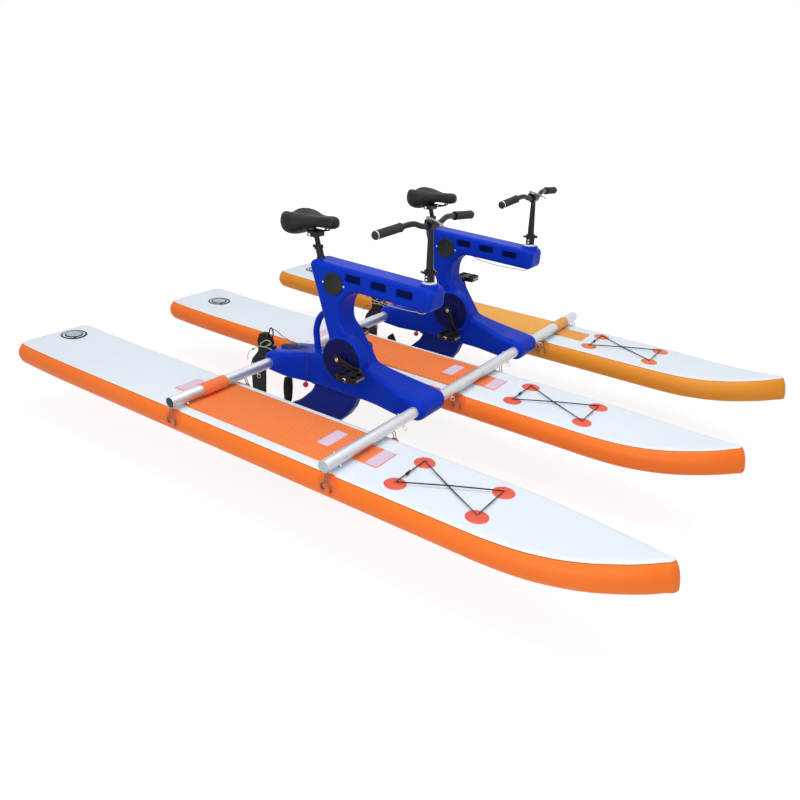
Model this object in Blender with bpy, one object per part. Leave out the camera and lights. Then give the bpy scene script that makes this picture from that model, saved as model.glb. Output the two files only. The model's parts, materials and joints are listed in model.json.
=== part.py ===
"""Inflatable pedal boat: three drop-stitch hulls under two crossbars that carry two pedal units.

Metres, bows along +X, port along +Y, up along +Z. The origin is on the flat bottom of the centre hull,
midway between the two crossbars.
"""

import math

import bmesh
import bpy
from mathutils import Matrix, Vector

# Whole boat
HULL_SPACING = 0.900
HULL_PLACES = {"starboard": -HULL_SPACING, "centre": 0.0, "port": HULL_SPACING}
UNIT_PLACES = {"starboard": -HULL_SPACING / 2, "port": HULL_SPACING / 2}
GAP = 0.0003
ARC_STEP = math.radians(30)

# Hulls
HULL_THICKNESS = 0.108
HULL_HALF_WIDTH = 0.205
STERN_X = -1.500
STERN_CORNER = 0.070
BOW_START_X = 0.930
BOW_TIP_X = 1.556
BOW_STATIONS = 8
BOW_FULLNESS = 0.75
STEM_BULGE = 0.008
STEM_LEAN = 0.010
RAIL_BULGE = 0.050
RAIL_ANGLES = (90, 66, 35, 0, -35, -66, -90)
SEAM_ROWS = 1
BOW_RISE_X = 1.080
BOW_RISE = 0.066
STERN_RISE_X = -1.100
STERN_RISE = 0.010
PAD_REAR_X = -0.400
PAD_FRONT_X = 0.360
PAD_HALF_WIDTH = 0.140
PAD_THICKNESS = 0.0055
VALVE_PLACES = {"starboard": (-1.380, 0.045), "centre": (-1.280, 0.0), "port": (-1.330, 0.0)}
PATCH_RADIUS = 0.042
PATCH_THICKNESS = 0.0015
PATCH_ANGLE = 18

# Crossbars and straps
BAR_X = 0.390
BAR_Z = 0.1455
BAR_HALF_LENGTH = 1.113
BAR_RADIUS = {"starboard": 0.0235, "port": 0.0255}
BAR_WALL = 0.0017
BAR_SLEEVE_LENGTH = 0.120
STRAP_WIDTH = 0.130
STRAP_THICKNESS = 0.0025
STRAP_OFFSET_Y = 0.015
OPEN_STRAPS = ("front_strap_starboard", "front_strap_centre")

# Bungees on the foredecks
ANCHOR_X = (0.612, 0.933)
ANCHOR_HALF_SPAN = 0.095
ANCHOR_RADIUS = 0.040
BUNGEE_RADIUS = 0.0025

# Pedal frame, side view in X and Z
FRAME_HALF_WIDTH = 0.060
FRAME_EDGE = 0.020
SLEEVE_HALF_WIDTH = 0.0935
SLEEVE_RADIUS = 0.042
FLARE_START = 0.130
FLARE_END = 0.330
FLARE_TOP = 0.270
BOOM_TOP_Z = 0.655
BOOM_UNDER_Z = 0.570
FRAME_BOTTOM_Z = 0.095
SLOT_X = (0.0425, 0.1675, 0.2925)
SLOT_Z = 0.625
SLOT_SIZE = (0.075, 0.028)
SLOT_DEPTH = 0.018
HATCH_CENTRE = (-0.062, 0.573)
HATCH_RADIUS = 0.0475
HUB_CENTRE = (0.012, 0.262)
HUB_RADIUS = 0.105
HUB_HALF_WIDTH = 0.088

# Drive train
CRANK_CENTRE = Vector((0.010, 0.0, 0.275))
CRANK_LENGTH = 0.120
CRANK_ANGLE = {"starboard": -12, "port": -62}
CRANK_SIDE = 0.103
CRANK_THICKNESS = 0.014
AXLE_RADIUS = 0.010
PEDAL_CENTRE_SIDE = 0.172
PEDAL_SIZE = (0.098, 0.086, 0.022)
SPINDLE_RADIUS = 0.006
PROP_CROSSING = Vector((-0.190, 0.0, -0.090))
PROP_CENTRE_X = -0.362
PROP_RADIUS = 0.145
PROP_CHORD = 0.046
PROP_ANGLE = {"starboard": 0, "port": 28}
PROP_SHAFT_RADIUS = 0.005
DRIVE_SHAFT_RADIUS = 0.006
CRANK_GEAR_TEETH = 18
TOP_PINION_TEETH = 6
LOWER_GEAR_TEETH = 12
PROP_PINION_TEETH = 6
CRANK_GEAR_RADIUS = 0.054
PROP_PINION_RADIUS = 0.0102
GEAR_FACE = 0.68

# Seat
SEAT_TUBE_TOP = Vector((-0.178, 0.0, BOOM_TOP_Z))
SEAT_LEAN = math.radians(17)
SEAT_TUBE_RADIUS = 0.0145
SEAT_POST_RADIUS = 0.0112
SEAT_BORE_DEPTH = 0.115
SEAT_TUBE_HEIGHT = 0.048
SADDLE_REAR_X = -0.345
SADDLE_NOSE_X = -0.095
SADDLE_HALF_WIDTH = 0.100
SADDLE_SHIFT = {"starboard": 0.0, "port": 0.030}
SADDLE_RAIL_Z = 0.7605
SADDLE_RAIL_RADIUS = 0.0035

# Steering
STEER_BASE = Vector((0.361, 0.0, 0.650))
STEER_LEAN = math.radians(3.2)
STEER_TUBE_RADIUS = 0.0175
STEM_RADIUS = 0.0125
BAR_CLAMP = Vector((0.349, 0.0, 0.875))
HANDLEBAR_RADIUS = 0.011
GRIP_LENGTH = 0.142
GRIP_RADIUS = 0.0165
STEERING_TURN = {"starboard": -4.5, "port": 1.5}

# Rudder
RUDDER_PIVOT_X = -0.452
RUDDER_RATIO = -0.8
KICK_PIVOT = Vector((-0.515, 0.0, 0.190))
RUDDER_TIP_Z = -0.200

COLOURS = {
    "hull_orange": ("EE6A22", 0.45, 0.0),
    "hull_amber": ("E0902C", 0.45, 0.0),
    "deck_white": ("E4EEF8", 0.50, 0.0),
    "pad_foam": ("FA7E44", 0.85, 0.0),
    "patch_coral": ("E8604C", 0.60, 0.0),
    "strap_webbing": ("F27A3C", 0.85, 0.0),
    "frame_blue": ("0A22B4", 0.30, 0.0),
    "aluminium": ("C9CDD0", 0.35, 1.0),
    "steel": ("B9BCC0", 0.25, 1.0),
    "black_metal": ("17181A", 0.40, 0.6),
    "black_plastic": ("1B1C1E", 0.55, 0.0),
    "grip_rubber": ("2B2C2E", 0.90, 0.0),
    "saddle_cover": ("1A1B1D", 0.70, 0.0),
    "bungee_black": ("202124", 0.80, 0.0),
    "lever_grey": ("C4C8CA", 0.35, 0.8),
    "cord_grey": ("3A3B3E", 0.80, 0.0),
    "ball_red": ("D0202A", 0.40, 0.0),
}


def linear(value):
    """One sRGB channel from 0 to 1 as linear light."""
    if value <= 0.04045:
        return value / 12.92
    return ((value + 0.055) / 1.055) ** 2.4


def material(name):
    """The named material, made on first use."""
    found = bpy.data.materials.get(name)
    if found:
        return found
    code, roughness, metallic = COLOURS[name]
    made = bpy.data.materials.new(name)
    made.use_nodes = True
    shader = made.node_tree.nodes["Principled BSDF"]
    channels = [linear(int(code[i : i + 2], 16) / 255) for i in (0, 2, 4)]
    shader.inputs["Base Color"].default_value = (*channels, 1.0)
    shader.inputs["Roughness"].default_value = roughness
    shader.inputs["Metallic"].default_value = metallic
    return made


def solid(name, mesh, material_name, smooth_angle=35):
    """An object made from a bmesh, with its normals facing out and round faces shaded smooth."""
    bmesh.ops.recalc_face_normals(mesh, faces=mesh.faces)
    data = bpy.data.meshes.new(name)
    mesh.to_mesh(data)
    mesh.free()
    data.materials.append(material(material_name))
    data.shade_smooth()
    data.set_sharp_from_angle(angle=math.radians(smooth_angle))
    made = bpy.data.objects.new(name, data)
    bpy.context.scene.collection.objects.link(made)
    return made


def combine(body, tools, operation):
    """Joins the tools to the body, or cuts them from it, and removes them."""
    for tool in tools:
        step = body.modifiers.new(tool.name, "BOOLEAN")
        step.operation = operation
        step.solver = "EXACT"
        step.material_mode = "TRANSFER"
        step.object = tool
    bpy.context.view_layer.update()
    graph = bpy.context.evaluated_depsgraph_get()
    result = bpy.data.meshes.new_from_object(body.evaluated_get(graph))
    body.modifiers.clear()
    body.data = result
    result.shade_smooth()
    result.set_sharp_from_angle(angle=math.radians(35))
    for tool in tools:
        bpy.data.objects.remove(tool)


def place(body, parent, origin=(0, 0, 0)):
    """Parents the body, with its own origin at a point of the parent's frame."""
    point = Vector(origin)
    body.data.transform(Matrix.Translation(-point))
    body.location = point
    body.parent = parent
    return body


def direction_matrix(origin, along, towards=(0, 1, 0)):
    """Matrix whose Z axis points along a direction and whose X axis leans towards another."""
    z_axis = Vector(along).normalized()
    side = Vector(towards) - Vector(towards).dot(z_axis) * z_axis
    x_axis = side.normalized()
    y_axis = z_axis.cross(x_axis)
    turn = Matrix((x_axis, y_axis, z_axis)).transposed()
    return Matrix.Translation(Vector(origin)) @ turn.to_4x4()


def arc(centre, radius, start, end, steps):
    """Points on an arc in the plane, angles in degrees."""
    return [
        (
            centre[0] + radius * math.cos(math.radians(start + (end - start) * i / steps)),
            centre[1] + radius * math.sin(math.radians(start + (end - start) * i / steps)),
        )
        for i in range(steps + 1)
    ]


def rounded(corners, arc_step=ARC_STEP):
    """A closed outline from corners (x, z, radius), each corner replaced by its arc."""
    outline = []
    count = len(corners)
    for i, (x, z, radius) in enumerate(corners):
        corner = Vector((x, z))
        before = Vector(corners[i - 1][:2]) - corner
        after = Vector(corners[(i + 1) % count][:2]) - corner
        half_angle = before.angle(after) / 2
        turn = math.pi - 2 * half_angle
        steps = max(1, round(turn / arc_step))
        cut = radius / math.tan(half_angle)
        start = corner + before.normalized() * cut
        inward = (before.normalized() + after.normalized()).normalized()
        centre = corner + inward * radius / math.sin(half_angle)
        spoke = start - centre
        sign = 1 if before.x * after.y - before.y * after.x < 0 else -1
        if radius == 0:
            outline.append((x, z))
            continue
        for step in range(steps + 1):
            angle = sign * turn * step / steps
            turned = Matrix.Rotation(angle, 2) @ spoke
            outline.append(tuple(centre + turned))
    return outline


def loft(mesh, rings, cyclic=False):
    """Skins rings of equal length one to the next, with flat ends unless the loft closes on itself."""
    loops = [[mesh.verts.new(point) for point in ring] for ring in rings]
    size = len(loops[0])
    pairs = list(zip(loops, loops[1:]))
    if cyclic:
        pairs.append((loops[-1], loops[0]))
    for first, second in pairs:
        for i in range(size):
            j = (i + 1) % size
            mesh.faces.new((first[i], first[j], second[j], second[i]))
    if not cyclic:
        mesh.faces.new(loops[0])
        mesh.faces.new(reversed(loops[-1]))
    return loops


def turned(name, profile, material_name, segments=20, matrix=None, cyclic=False):
    """A turned solid: profile points (radius, height) round the Z axis, then moved by the matrix."""
    mesh = bmesh.new()
    turns = [math.tau * i / segments for i in range(segments)]
    rings = []
    for radius, height in profile:
        rings.append([(radius * math.cos(turn), radius * math.sin(turn), height) for turn in turns])
    loft(mesh, rings, cyclic)
    if matrix:
        mesh.transform(matrix)
    return solid(name, mesh, material_name)


def rod(name, start, end, radius, material_name, segments=16):
    """A straight round bar from one point to another."""
    axis = Vector(end) - Vector(start)
    towards = (1, 0, 0) if abs(axis.normalized().x) < 0.9 else (0, 1, 0)
    matrix = direction_matrix(start, axis, towards)
    return turned(name, [(radius, 0), (radius, axis.length)], material_name, segments, matrix)


def block(name, low, high, material_name):
    """A plain box between two corners."""
    mesh = bmesh.new()
    bmesh.ops.create_cube(mesh, size=1)
    size = Vector(high) - Vector(low)
    middle = (Vector(high) + Vector(low)) / 2
    mesh.transform(Matrix.Translation(middle) @ Matrix.Diagonal((*size, 1)))
    return solid(name, mesh, material_name)


def smooth_path(points, steps):
    """A curve through every point, with the same number of steps between neighbours."""
    path = [Vector(point) for point in points]
    ends = [2 * path[0] - path[1], *path, 2 * path[-1] - path[-2]]
    smooth = []
    for i in range(1, len(ends) - 2):
        a, b, c, d = ends[i - 1 : i + 3]
        for step in range(steps):
            t = step / steps
            smooth.append(
                b
                + 0.5 * t * (c - a)
                + t * t * (a - 2.5 * b + 2 * c - 0.5 * d)
                + t * t * t * (1.5 * (b - c) + 0.5 * (d - a))
            )
    smooth.append(path[-1])
    return smooth


def swept(name, path, radius, material_name, sides=10):
    """A round tube along a path."""
    rings = []
    turns = [math.tau * k / sides for k in range(sides)]
    side = Vector((0.123, 0.456, 0.789))
    for i, point in enumerate(path):
        before = path[max(i - 1, 0)]
        after = path[min(i + 1, len(path) - 1)]
        along = (after - before).normalized()
        side = (side - side.dot(along) * along).normalized()
        across = along.cross(side)
        rings.append([point + radius * (math.cos(turn) * side + math.sin(turn) * across) for turn in turns])
    mesh = bmesh.new()
    loft(mesh, rings)
    return solid(name, mesh, material_name)


def extruded(outline, half_width, edge, edge_steps=2):
    """An outline in X and Z as a plate across Y, its two rims rounded."""
    mesh = bmesh.new()
    face = mesh.faces.new([mesh.verts.new((x, -half_width, z)) for x, z in outline])
    grown = bmesh.ops.extrude_face_region(mesh, geom=[face])["geom"]
    top = [part for part in grown if isinstance(part, bmesh.types.BMVert)]
    bmesh.ops.translate(mesh, verts=top, vec=(0, 2 * half_width, 0))
    bmesh.ops.recalc_face_normals(mesh, faces=mesh.faces)
    if edge:
        rims = [part for part in mesh.edges if abs(part.verts[0].co.y - part.verts[1].co.y) < half_width]
        shape = {"offset": edge, "offset_type": "OFFSET", "segments": edge_steps, "profile": 0.5}
        bmesh.ops.bevel(mesh, geom=rims, affect="EDGES", **shape)
    return mesh


def rise(x):
    """How far the hull has risen from its flat part at this station."""
    if x > BOW_RISE_X:
        return BOW_RISE * ((x - BOW_RISE_X) / (BOW_TIP_X - BOW_RISE_X)) ** 2
    if x < STERN_RISE_X:
        return STERN_RISE * ((STERN_RISE_X - x) / (STERN_RISE_X - STERN_X)) ** 2
    return 0.0


def hull_side():
    """Port half of the hull's plan outline, stern to bow, as (x, y)."""
    corner = (STERN_X + STERN_CORNER, HULL_HALF_WIDTH - STERN_CORNER)
    side = arc(corner, STERN_CORNER, 180, 90, 3)
    side.append((STERN_RISE_X, HULL_HALF_WIDTH))
    for i in range(BOW_STATIONS):
        along = math.sin(math.pi / 2 * i / BOW_STATIONS)
        x = BOW_START_X + along * (BOW_TIP_X - BOW_START_X)
        side.append((x, HULL_HALF_WIDTH * (1 - along**2) ** BOW_FULLNESS))
    return side


def rail_rows(side, half_turn):
    """For each outline point the run of points down the rail, from the deck's edge to the bottom's."""
    rows = []
    for i, (x, y) in enumerate(side):
        before = Vector(side[i - 1]) if i else Vector((x, y - 0.01))
        after = Vector(side[i + 1]) if i + 1 < len(side) else Vector((BOW_TIP_X, 0.0))
        along = (after - before).normalized()
        outward = Vector((-along.y, along.x))
        bulge = min(RAIL_BULGE, 0.6 * y)
        inner = Vector((x, y)) - bulge * outward
        row = []
        for angle in RAIL_ANGLES:
            reach = bulge * math.cos(math.radians(angle))
            height = HULL_THICKNESS / 2 * (1 + math.sin(math.radians(angle)))
            spot = inner + reach * outward
            row.append(Vector((spot.x, half_turn * max(spot.y, 0.0), height + rise(spot.x))))
        rows.append(row)
    return rows


def hull_body(name, colour):
    """The air-filled float: flat deck and bottom, round rails, square stern, pointed rising bow."""
    mesh = bmesh.new()
    side = hull_side()
    port = [[mesh.verts.new(point) for point in row] for row in rail_rows(side, 1)]
    starboard = [[mesh.verts.new(point) for point in row] for row in rail_rows(side, -1)]
    tip_row = []
    for angle in RAIL_ANGLES:
        height = HULL_THICKNESS / 2 * (1 + math.sin(math.radians(angle)))
        turn = math.radians(angle)
        x = BOW_TIP_X - STEM_BULGE * (1 - math.cos(turn)) - STEM_LEAN * math.sin(turn)
        tip_row.append(mesh.verts.new((x, 0.0, height + rise(x))))
    around = [*port, tip_row, *reversed(starboard)]
    levels = len(RAIL_ANGLES)
    for i, row in enumerate(around):
        following = around[(i + 1) % len(around)]
        for level in range(levels - 1):
            face = mesh.faces.new((row[level], following[level], following[level + 1], row[level + 1]))
            face.material_index = 1 if level < SEAM_ROWS else 0
    for level in (0, levels - 1):
        for i in range(len(port) - 1):
            across = (port[i][level], port[i + 1][level], starboard[i + 1][level], starboard[i][level])
            face = mesh.faces.new(across)
            face.material_index = 1 if level == 0 else 0
        face = mesh.faces.new((port[-1][level], tip_row[level], starboard[-1][level]))
        face.material_index = 1 if level == 0 else 0
    body = solid(name, mesh, colour, smooth_angle=50)
    body.data.materials.append(material("deck_white"))
    return body


def rail_point(x, angle, lift):
    """A point on the straight rail, lifted off its surface."""
    reach = (RAIL_BULGE + lift) * math.cos(math.radians(angle))
    height = HULL_THICKNESS / 2 + (HULL_THICKNESS / 2 + lift) * math.sin(math.radians(angle))
    return Vector((x, HULL_HALF_WIDTH - RAIL_BULGE + reach, height))


def rail_patch(name, x, side):
    """Round patch glued round the rail, as deep in the rail as it is proud of it."""
    mesh = bmesh.new()
    rows = 5
    degrees = math.degrees(PATCH_RADIUS / RAIL_BULGE)
    rings = []
    for i in range(rows):
        share = -0.94 + 1.88 * i / (rows - 1)
        half = PATCH_RADIUS * math.sqrt(1 - share * share)
        angle = PATCH_ANGLE + share * degrees
        ring = [
            rail_point(x - half, angle, -PATCH_THICKNESS),
            rail_point(x + half, angle, -PATCH_THICKNESS),
            rail_point(x + half, angle, PATCH_THICKNESS),
            rail_point(x - half, angle, PATCH_THICKNESS),
        ]
        rings.append([Vector((point.x, side * point.y, point.z)) for point in ring])
    loft(mesh, rings)
    return solid(name, mesh, "patch_coral")


def hull(place_name):
    """One float with its pad, ring patches and valve fused on, as they are glued on the real one."""
    colour = "hull_amber" if place_name == "port" else "hull_orange"
    name = f"hull_{place_name}"
    body = hull_body(name, colour)
    deck = HULL_THICKNESS
    mesh = bmesh.new()
    corners = [
        (PAD_REAR_X, -PAD_HALF_WIDTH, 0.012),
        (PAD_FRONT_X, -PAD_HALF_WIDTH, 0.012),
        (PAD_FRONT_X, PAD_HALF_WIDTH, 0.012),
        (PAD_REAR_X, PAD_HALF_WIDTH, 0.012),
    ]
    outline = rounded(corners)
    loft(mesh, [[(x, y, z) for x, y in outline] for z in (deck - 0.003, deck + PAD_THICKNESS)])
    tools = [solid("pad", mesh, "pad_foam")]
    valve_x, valve_y = VALVE_PLACES[place_name]
    valve = [(0.060, -0.003), (0.060, 0.002), (0.036, 0.003), (0.034, 0.0075)]
    matrix = Matrix.Translation((valve_x, valve_y, deck + rise(valve_x)))
    tools.append(turned("valve", valve, "black_plastic", 12, matrix))
    for x in (-BAR_X, BAR_X):
        for side in (-1, 1):
            tools.append(rail_patch("patch", x, side))
    combine(body, tools, "UNION")
    body.location = (0, HULL_PLACES[place_name], 0)
    return body


def bungee(place_name):
    """Elastic cord crossed over the foredeck through four round anchors."""
    deck = HULL_THICKNESS + GAP
    spots = {}
    tools = []
    for x in ANCHOR_X:
        for side in (-1, 1):
            base = deck + rise(x + ANCHOR_RADIUS)
            spots[x, side] = Vector((x, side * ANCHOR_HALF_SPAN, base + 0.0065))
            disc = [(ANCHOR_RADIUS, 0), (ANCHOR_RADIUS, 0.0025), (0.011, 0.0035), (0.008, 0.0105)]
            matrix = Matrix.Translation((x, side * ANCHOR_HALF_SPAN, base))
            tools.append(turned("anchor", disc, "patch_coral", 10, matrix))
    rear_x, front_x = ANCHOR_X
    lift = Vector((0, 0, 0.0022))
    runs = [
        (spots[rear_x, -1], spots[front_x, 1], lift),
        (spots[rear_x, 1], spots[front_x, -1], -lift),
        (spots[front_x, -1], spots[front_x, 1], 0 * lift),
        (spots[rear_x, -1], spots[rear_x, 1], 0 * lift),
    ]
    for start, end, bow in runs:
        path = [start, (start + end) / 2 + bow, end]
        tools.append(swept("run", path, BUNGEE_RADIUS, "bungee_black", sides=5))
    body = tools.pop(0)
    body.name = f"bow_bungee_{place_name}"
    combine(body, tools, "UNION")
    body.location = (0, HULL_PLACES[place_name], 0)
    return body


def crossbar(name, bar_x, half, capped):
    """One half of a crossbar: the port half sleeves over the starboard half at the middle."""
    outer = BAR_RADIUS[half]
    inner = outer - BAR_WALL
    end = BAR_HALF_LENGTH
    if half == "port":
        profile = [(outer, 0), (outer, end), (inner, end), (inner, 0)]
    else:
        profile = [(outer, -end), (outer, BAR_SLEEVE_LENGTH), (inner, BAR_SLEEVE_LENGTH), (inner, -end)]
    if capped:
        lip = 0.004
        profile = [
            (inner, -end + lip),
            (inner, BAR_SLEEVE_LENGTH),
            (outer, BAR_SLEEVE_LENGTH),
            (outer, -end),
            (outer - 0.002, -end - 0.002),
        ]
    matrix = direction_matrix((bar_x, 0, BAR_Z), (0, 1, 0), (1, 0, 0))
    return turned(name, profile, "aluminium", 20, matrix, cyclic=not capped)


def ribbon(name, path, width, thickness):
    """A flat band that follows a path in X and Z, its width across Y."""
    left = []
    right = []
    for i, point in enumerate(path):
        before = Vector(path[max(i - 1, 0)])
        after = Vector(path[min(i + 1, len(path) - 1)])
        along = (after - before).normalized()
        normal = Vector((-along.y, along.x)) * thickness / 2
        left.append(Vector(point) + normal)
        right.append(Vector(point) - normal)
    mesh = bmesh.new()
    outline = [(point.x, point.y) for point in [*left, *reversed(right)]]
    loft(mesh, [[(x, y, z) for x, z in outline] for y in (-width / 2, width / 2)])
    return solid(name, mesh, "strap_webbing", smooth_angle=50)


def strap(name, place_name, bar_x):
    """Webbing strap: open flat under the bar, or wrapped round it with its tail on the deck."""
    deck = HULL_THICKNESS + GAP + STRAP_THICKNESS / 2
    pad = deck + PAD_THICKNESS
    if name in OPEN_STRAPS:
        path = [(0.220, pad), (PAD_FRONT_X + 0.004, pad), (PAD_FRONT_X + 0.030, deck), (0.500, deck)]
    else:
        bar_half = "starboard" if place_name == "starboard" else "port"
        wrap = BAR_RADIUS[bar_half] + STRAP_THICKNESS / 2 + 2 * GAP
        outward = 1 if bar_x > 0 else -1
        under = BAR_Z - wrap
        tail = [
            (bar_x + outward * 0.160, deck),
            (bar_x + outward * 0.048, deck),
            (bar_x + outward * 0.022, under),
            (bar_x, under),
        ]
        loop = arc((bar_x, BAR_Z), wrap, -90 - outward * 20, -90 - outward * 325, 14)
        path = [*tail, *loop]
    body = ribbon(name, path, STRAP_WIDTH, STRAP_THICKNESS)
    body.location = (0, HULL_PLACES[place_name] + STRAP_OFFSET_Y, 0)
    return body


def flare(mesh):
    """Widens the lower ends of the frame to the bar sleeves."""
    for x in (-0.30, -0.20, 0.20, 0.30):
        geometry = [*mesh.verts, *mesh.edges, *mesh.faces]
        bmesh.ops.bisect_plane(mesh, geom=geometry, plane_co=(x, 0, 0), plane_no=(1, 0, 0), dist=1e-6)
    for vert in mesh.verts:
        if vert.co.z > FLARE_TOP:
            continue
        share = (abs(vert.co.x) - FLARE_START) / (FLARE_END - FLARE_START)
        share = min(max(share, 0.0), 1.0)
        share = share * share * (3 - 2 * share)
        vert.co.y *= 1 + share * (SLEEVE_HALF_WIDTH / FRAME_HALF_WIDTH - 1)


def frame_outline():
    """Side view of the pedal frame, one run from the boom's nose round by the column, arm and leg."""
    high = BAR_Z + SLEEVE_RADIUS
    low = BAR_Z - SLEEVE_RADIUS
    far = BAR_X + SLEEVE_RADIUS
    turn = SLEEVE_RADIUS * 0.998
    return rounded(
        [
            (0.402, BOOM_UNDER_Z, 0.024),
            (0.402, 0.641, 0.026),
            (-0.203, BOOM_TOP_Z, 0.024),
            (-0.087, 0.335, 0.050),
            (-0.090, 0.250, 0.030),
            (-0.270, 0.222, 0.200),
            (-far, high, turn),
            (-far, low, turn),
            (-0.300, FRAME_BOTTOM_Z, 0.200),
            (0.300, FRAME_BOTTOM_Z, 0.200),
            (far, low, turn),
            (far, high, turn),
            (0.290, 0.205, 0.200),
            (0.108, 0.246, 0.070),
            (0.014, 0.366, 0.030),
            (-0.030, 0.415, 0.060),
            (-0.030, BOOM_UNDER_Z, 0.100),
        ]
    )


def seat_direction():
    """Unit vector up the seat tube."""
    return Vector((-math.sin(SEAT_LEAN), 0, math.cos(SEAT_LEAN)))


def steer_direction():
    """Unit vector up the steering post."""
    return Vector((-math.sin(STEER_LEAN), 0, math.cos(STEER_LEAN)))


def shaft_direction():
    """Unit vector down the drive shaft, from the cranks' axis to the propeller's."""
    return (PROP_CROSSING - CRANK_CENTRE).normalized()


def pedal_frame(unit):
    """The moulded frame with its hub housing, bosses, hoop handle and hatch, bored for what it holds."""
    name = f"pedal_frame_{unit}_unit"
    mesh = extruded(frame_outline(), FRAME_HALF_WIDTH, FRAME_EDGE)
    flare(mesh)
    body = solid(name, mesh, "frame_blue")
    seat = direction_matrix(SEAT_TUBE_TOP, seat_direction())
    steer = direction_matrix(STEER_BASE, steer_direction())
    hub_matrix = direction_matrix((HUB_CENTRE[0], 0, HUB_CENTRE[1]), (0, 1, 0), (1, 0, 0))
    hub_edge = 0.010
    hub_profile = [
        (HUB_RADIUS - hub_edge, -HUB_HALF_WIDTH),
        (HUB_RADIUS, -HUB_HALF_WIDTH + hub_edge),
        (HUB_RADIUS, HUB_HALF_WIDTH - hub_edge),
        (HUB_RADIUS - hub_edge, HUB_HALF_WIDTH),
    ]
    joined = [turned("hub", hub_profile, "frame_blue", 24, hub_matrix)]
    boss = [(0.041, -0.050), (0.041, 0.000), (0.037, 0.004)]
    joined.append(turned("boss", boss, "frame_blue", 16, steer))
    handle = [
        (-0.180, 0, 0.215),
        (-0.190, 0, 0.270),
        (-0.193, 0, 0.345),
        (-0.155, 0, 0.412),
        (-0.090, 0, 0.430),
    ]
    joined.append(swept("handle", smooth_path(handle, 2), 0.015, "frame_blue", sides=8))
    lug_low = BAR_Z - 0.025
    lug_high = BAR_Z + 0.022
    lug = (RUDDER_PIVOT_X, 0)
    joined.append(rod("lug", (*lug, lug_low), (*lug, lug_high), 0.013, "frame_blue"))
    web_low = (lug[0], -0.009, lug_low + 0.001)
    web_high = (-0.415, 0.009, lug_high - 0.001)
    joined.append(block("web", web_low, web_high, "frame_blue"))
    tube = [(SEAT_TUBE_RADIUS, -0.060), (SEAT_TUBE_RADIUS, SEAT_TUBE_HEIGHT - 0.014)]
    tube += [(0.0185, SEAT_TUBE_HEIGHT - 0.013), (0.0185, SEAT_TUBE_HEIGHT)]
    joined.append(turned("seat_tube", tube, "black_metal", 14, seat))
    for side in (-1, 1):
        start = (HATCH_CENTRE[0], side * (FRAME_HALF_WIDTH - 0.004), HATCH_CENTRE[1])
        end = (HATCH_CENTRE[0], side * (FRAME_HALF_WIDTH + 0.003), HATCH_CENTRE[1])
        joined.append(rod("hatch", start, end, HATCH_RADIUS, "black_plastic", 16))
    combine(body, joined, "UNION")
    cuts = []
    bore = BAR_RADIUS[unit] + GAP
    for x in (-BAR_X, BAR_X):
        cuts.append(rod("bar_bore", (x, -0.12, BAR_Z), (x, 0.12, BAR_Z), bore, "frame_blue", 20))
    for x in SLOT_X:
        for side in (-1, 1):
            corners = []
            for dx, dz in ((-0.5, -0.5), (0.5, -0.5), (0.5, 0.5), (-0.5, 0.5)):
                slot_z = SLOT_Z - 0.02 * (x - SLOT_X[1]) + dz * SLOT_SIZE[1]
                corners.append((x + dx * SLOT_SIZE[0], slot_z, 0.008))
            slot = bmesh.new()
            outline = rounded(corners, math.radians(60))
            depths = (side * (FRAME_HALF_WIDTH - SLOT_DEPTH), side * (FRAME_HALF_WIDTH + 0.010))
            loft(slot, [[(px, y, pz) for px, pz in outline] for y in depths])
            cuts.append(solid("slot", slot, "frame_blue"))
    seat_hole = SEAT_POST_RADIUS + 2 * GAP
    steer_hole = STEER_TUBE_RADIUS + 2 * GAP
    axle_hole = AXLE_RADIUS + 2 * GAP
    through = Vector((0, 0.120, 0))
    room_back = Vector((0, 0.034, 0))
    room_front = Vector((0, 0.044, 0))
    seat_bore = [(seat_hole, -SEAT_BORE_DEPTH), (seat_hole, 0.1)]
    cuts.append(turned("seat_bore", seat_bore, "frame_blue", 14, seat))
    cuts.append(turned("steer_bore", [(steer_hole, -0.062), (steer_hole, 0.1)], "frame_blue", 16, steer))
    cuts.append(rod("axle_bore", CRANK_CENTRE - through, CRANK_CENTRE + through, axle_hole, "frame_blue"))
    room = (CRANK_CENTRE - room_back, CRANK_CENTRE + room_front)
    cuts.append(rod("gear_room", *room, 0.066, "frame_blue", 16))
    shaft_end = CRANK_CENTRE + 0.30 * shaft_direction()
    cuts.append(rod("shaft_bore", CRANK_CENTRE, shaft_end, DRIVE_SHAFT_RADIUS + 0.002, "frame_blue"))
    hinge_top = (*lug, lug_high + 0.02)
    cuts.append(rod("hinge_bore", (*lug, lug_low - 0.01), hinge_top, 0.0043, "frame_blue", 12))
    combine(body, cuts, "DIFFERENCE")
    return body


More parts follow.
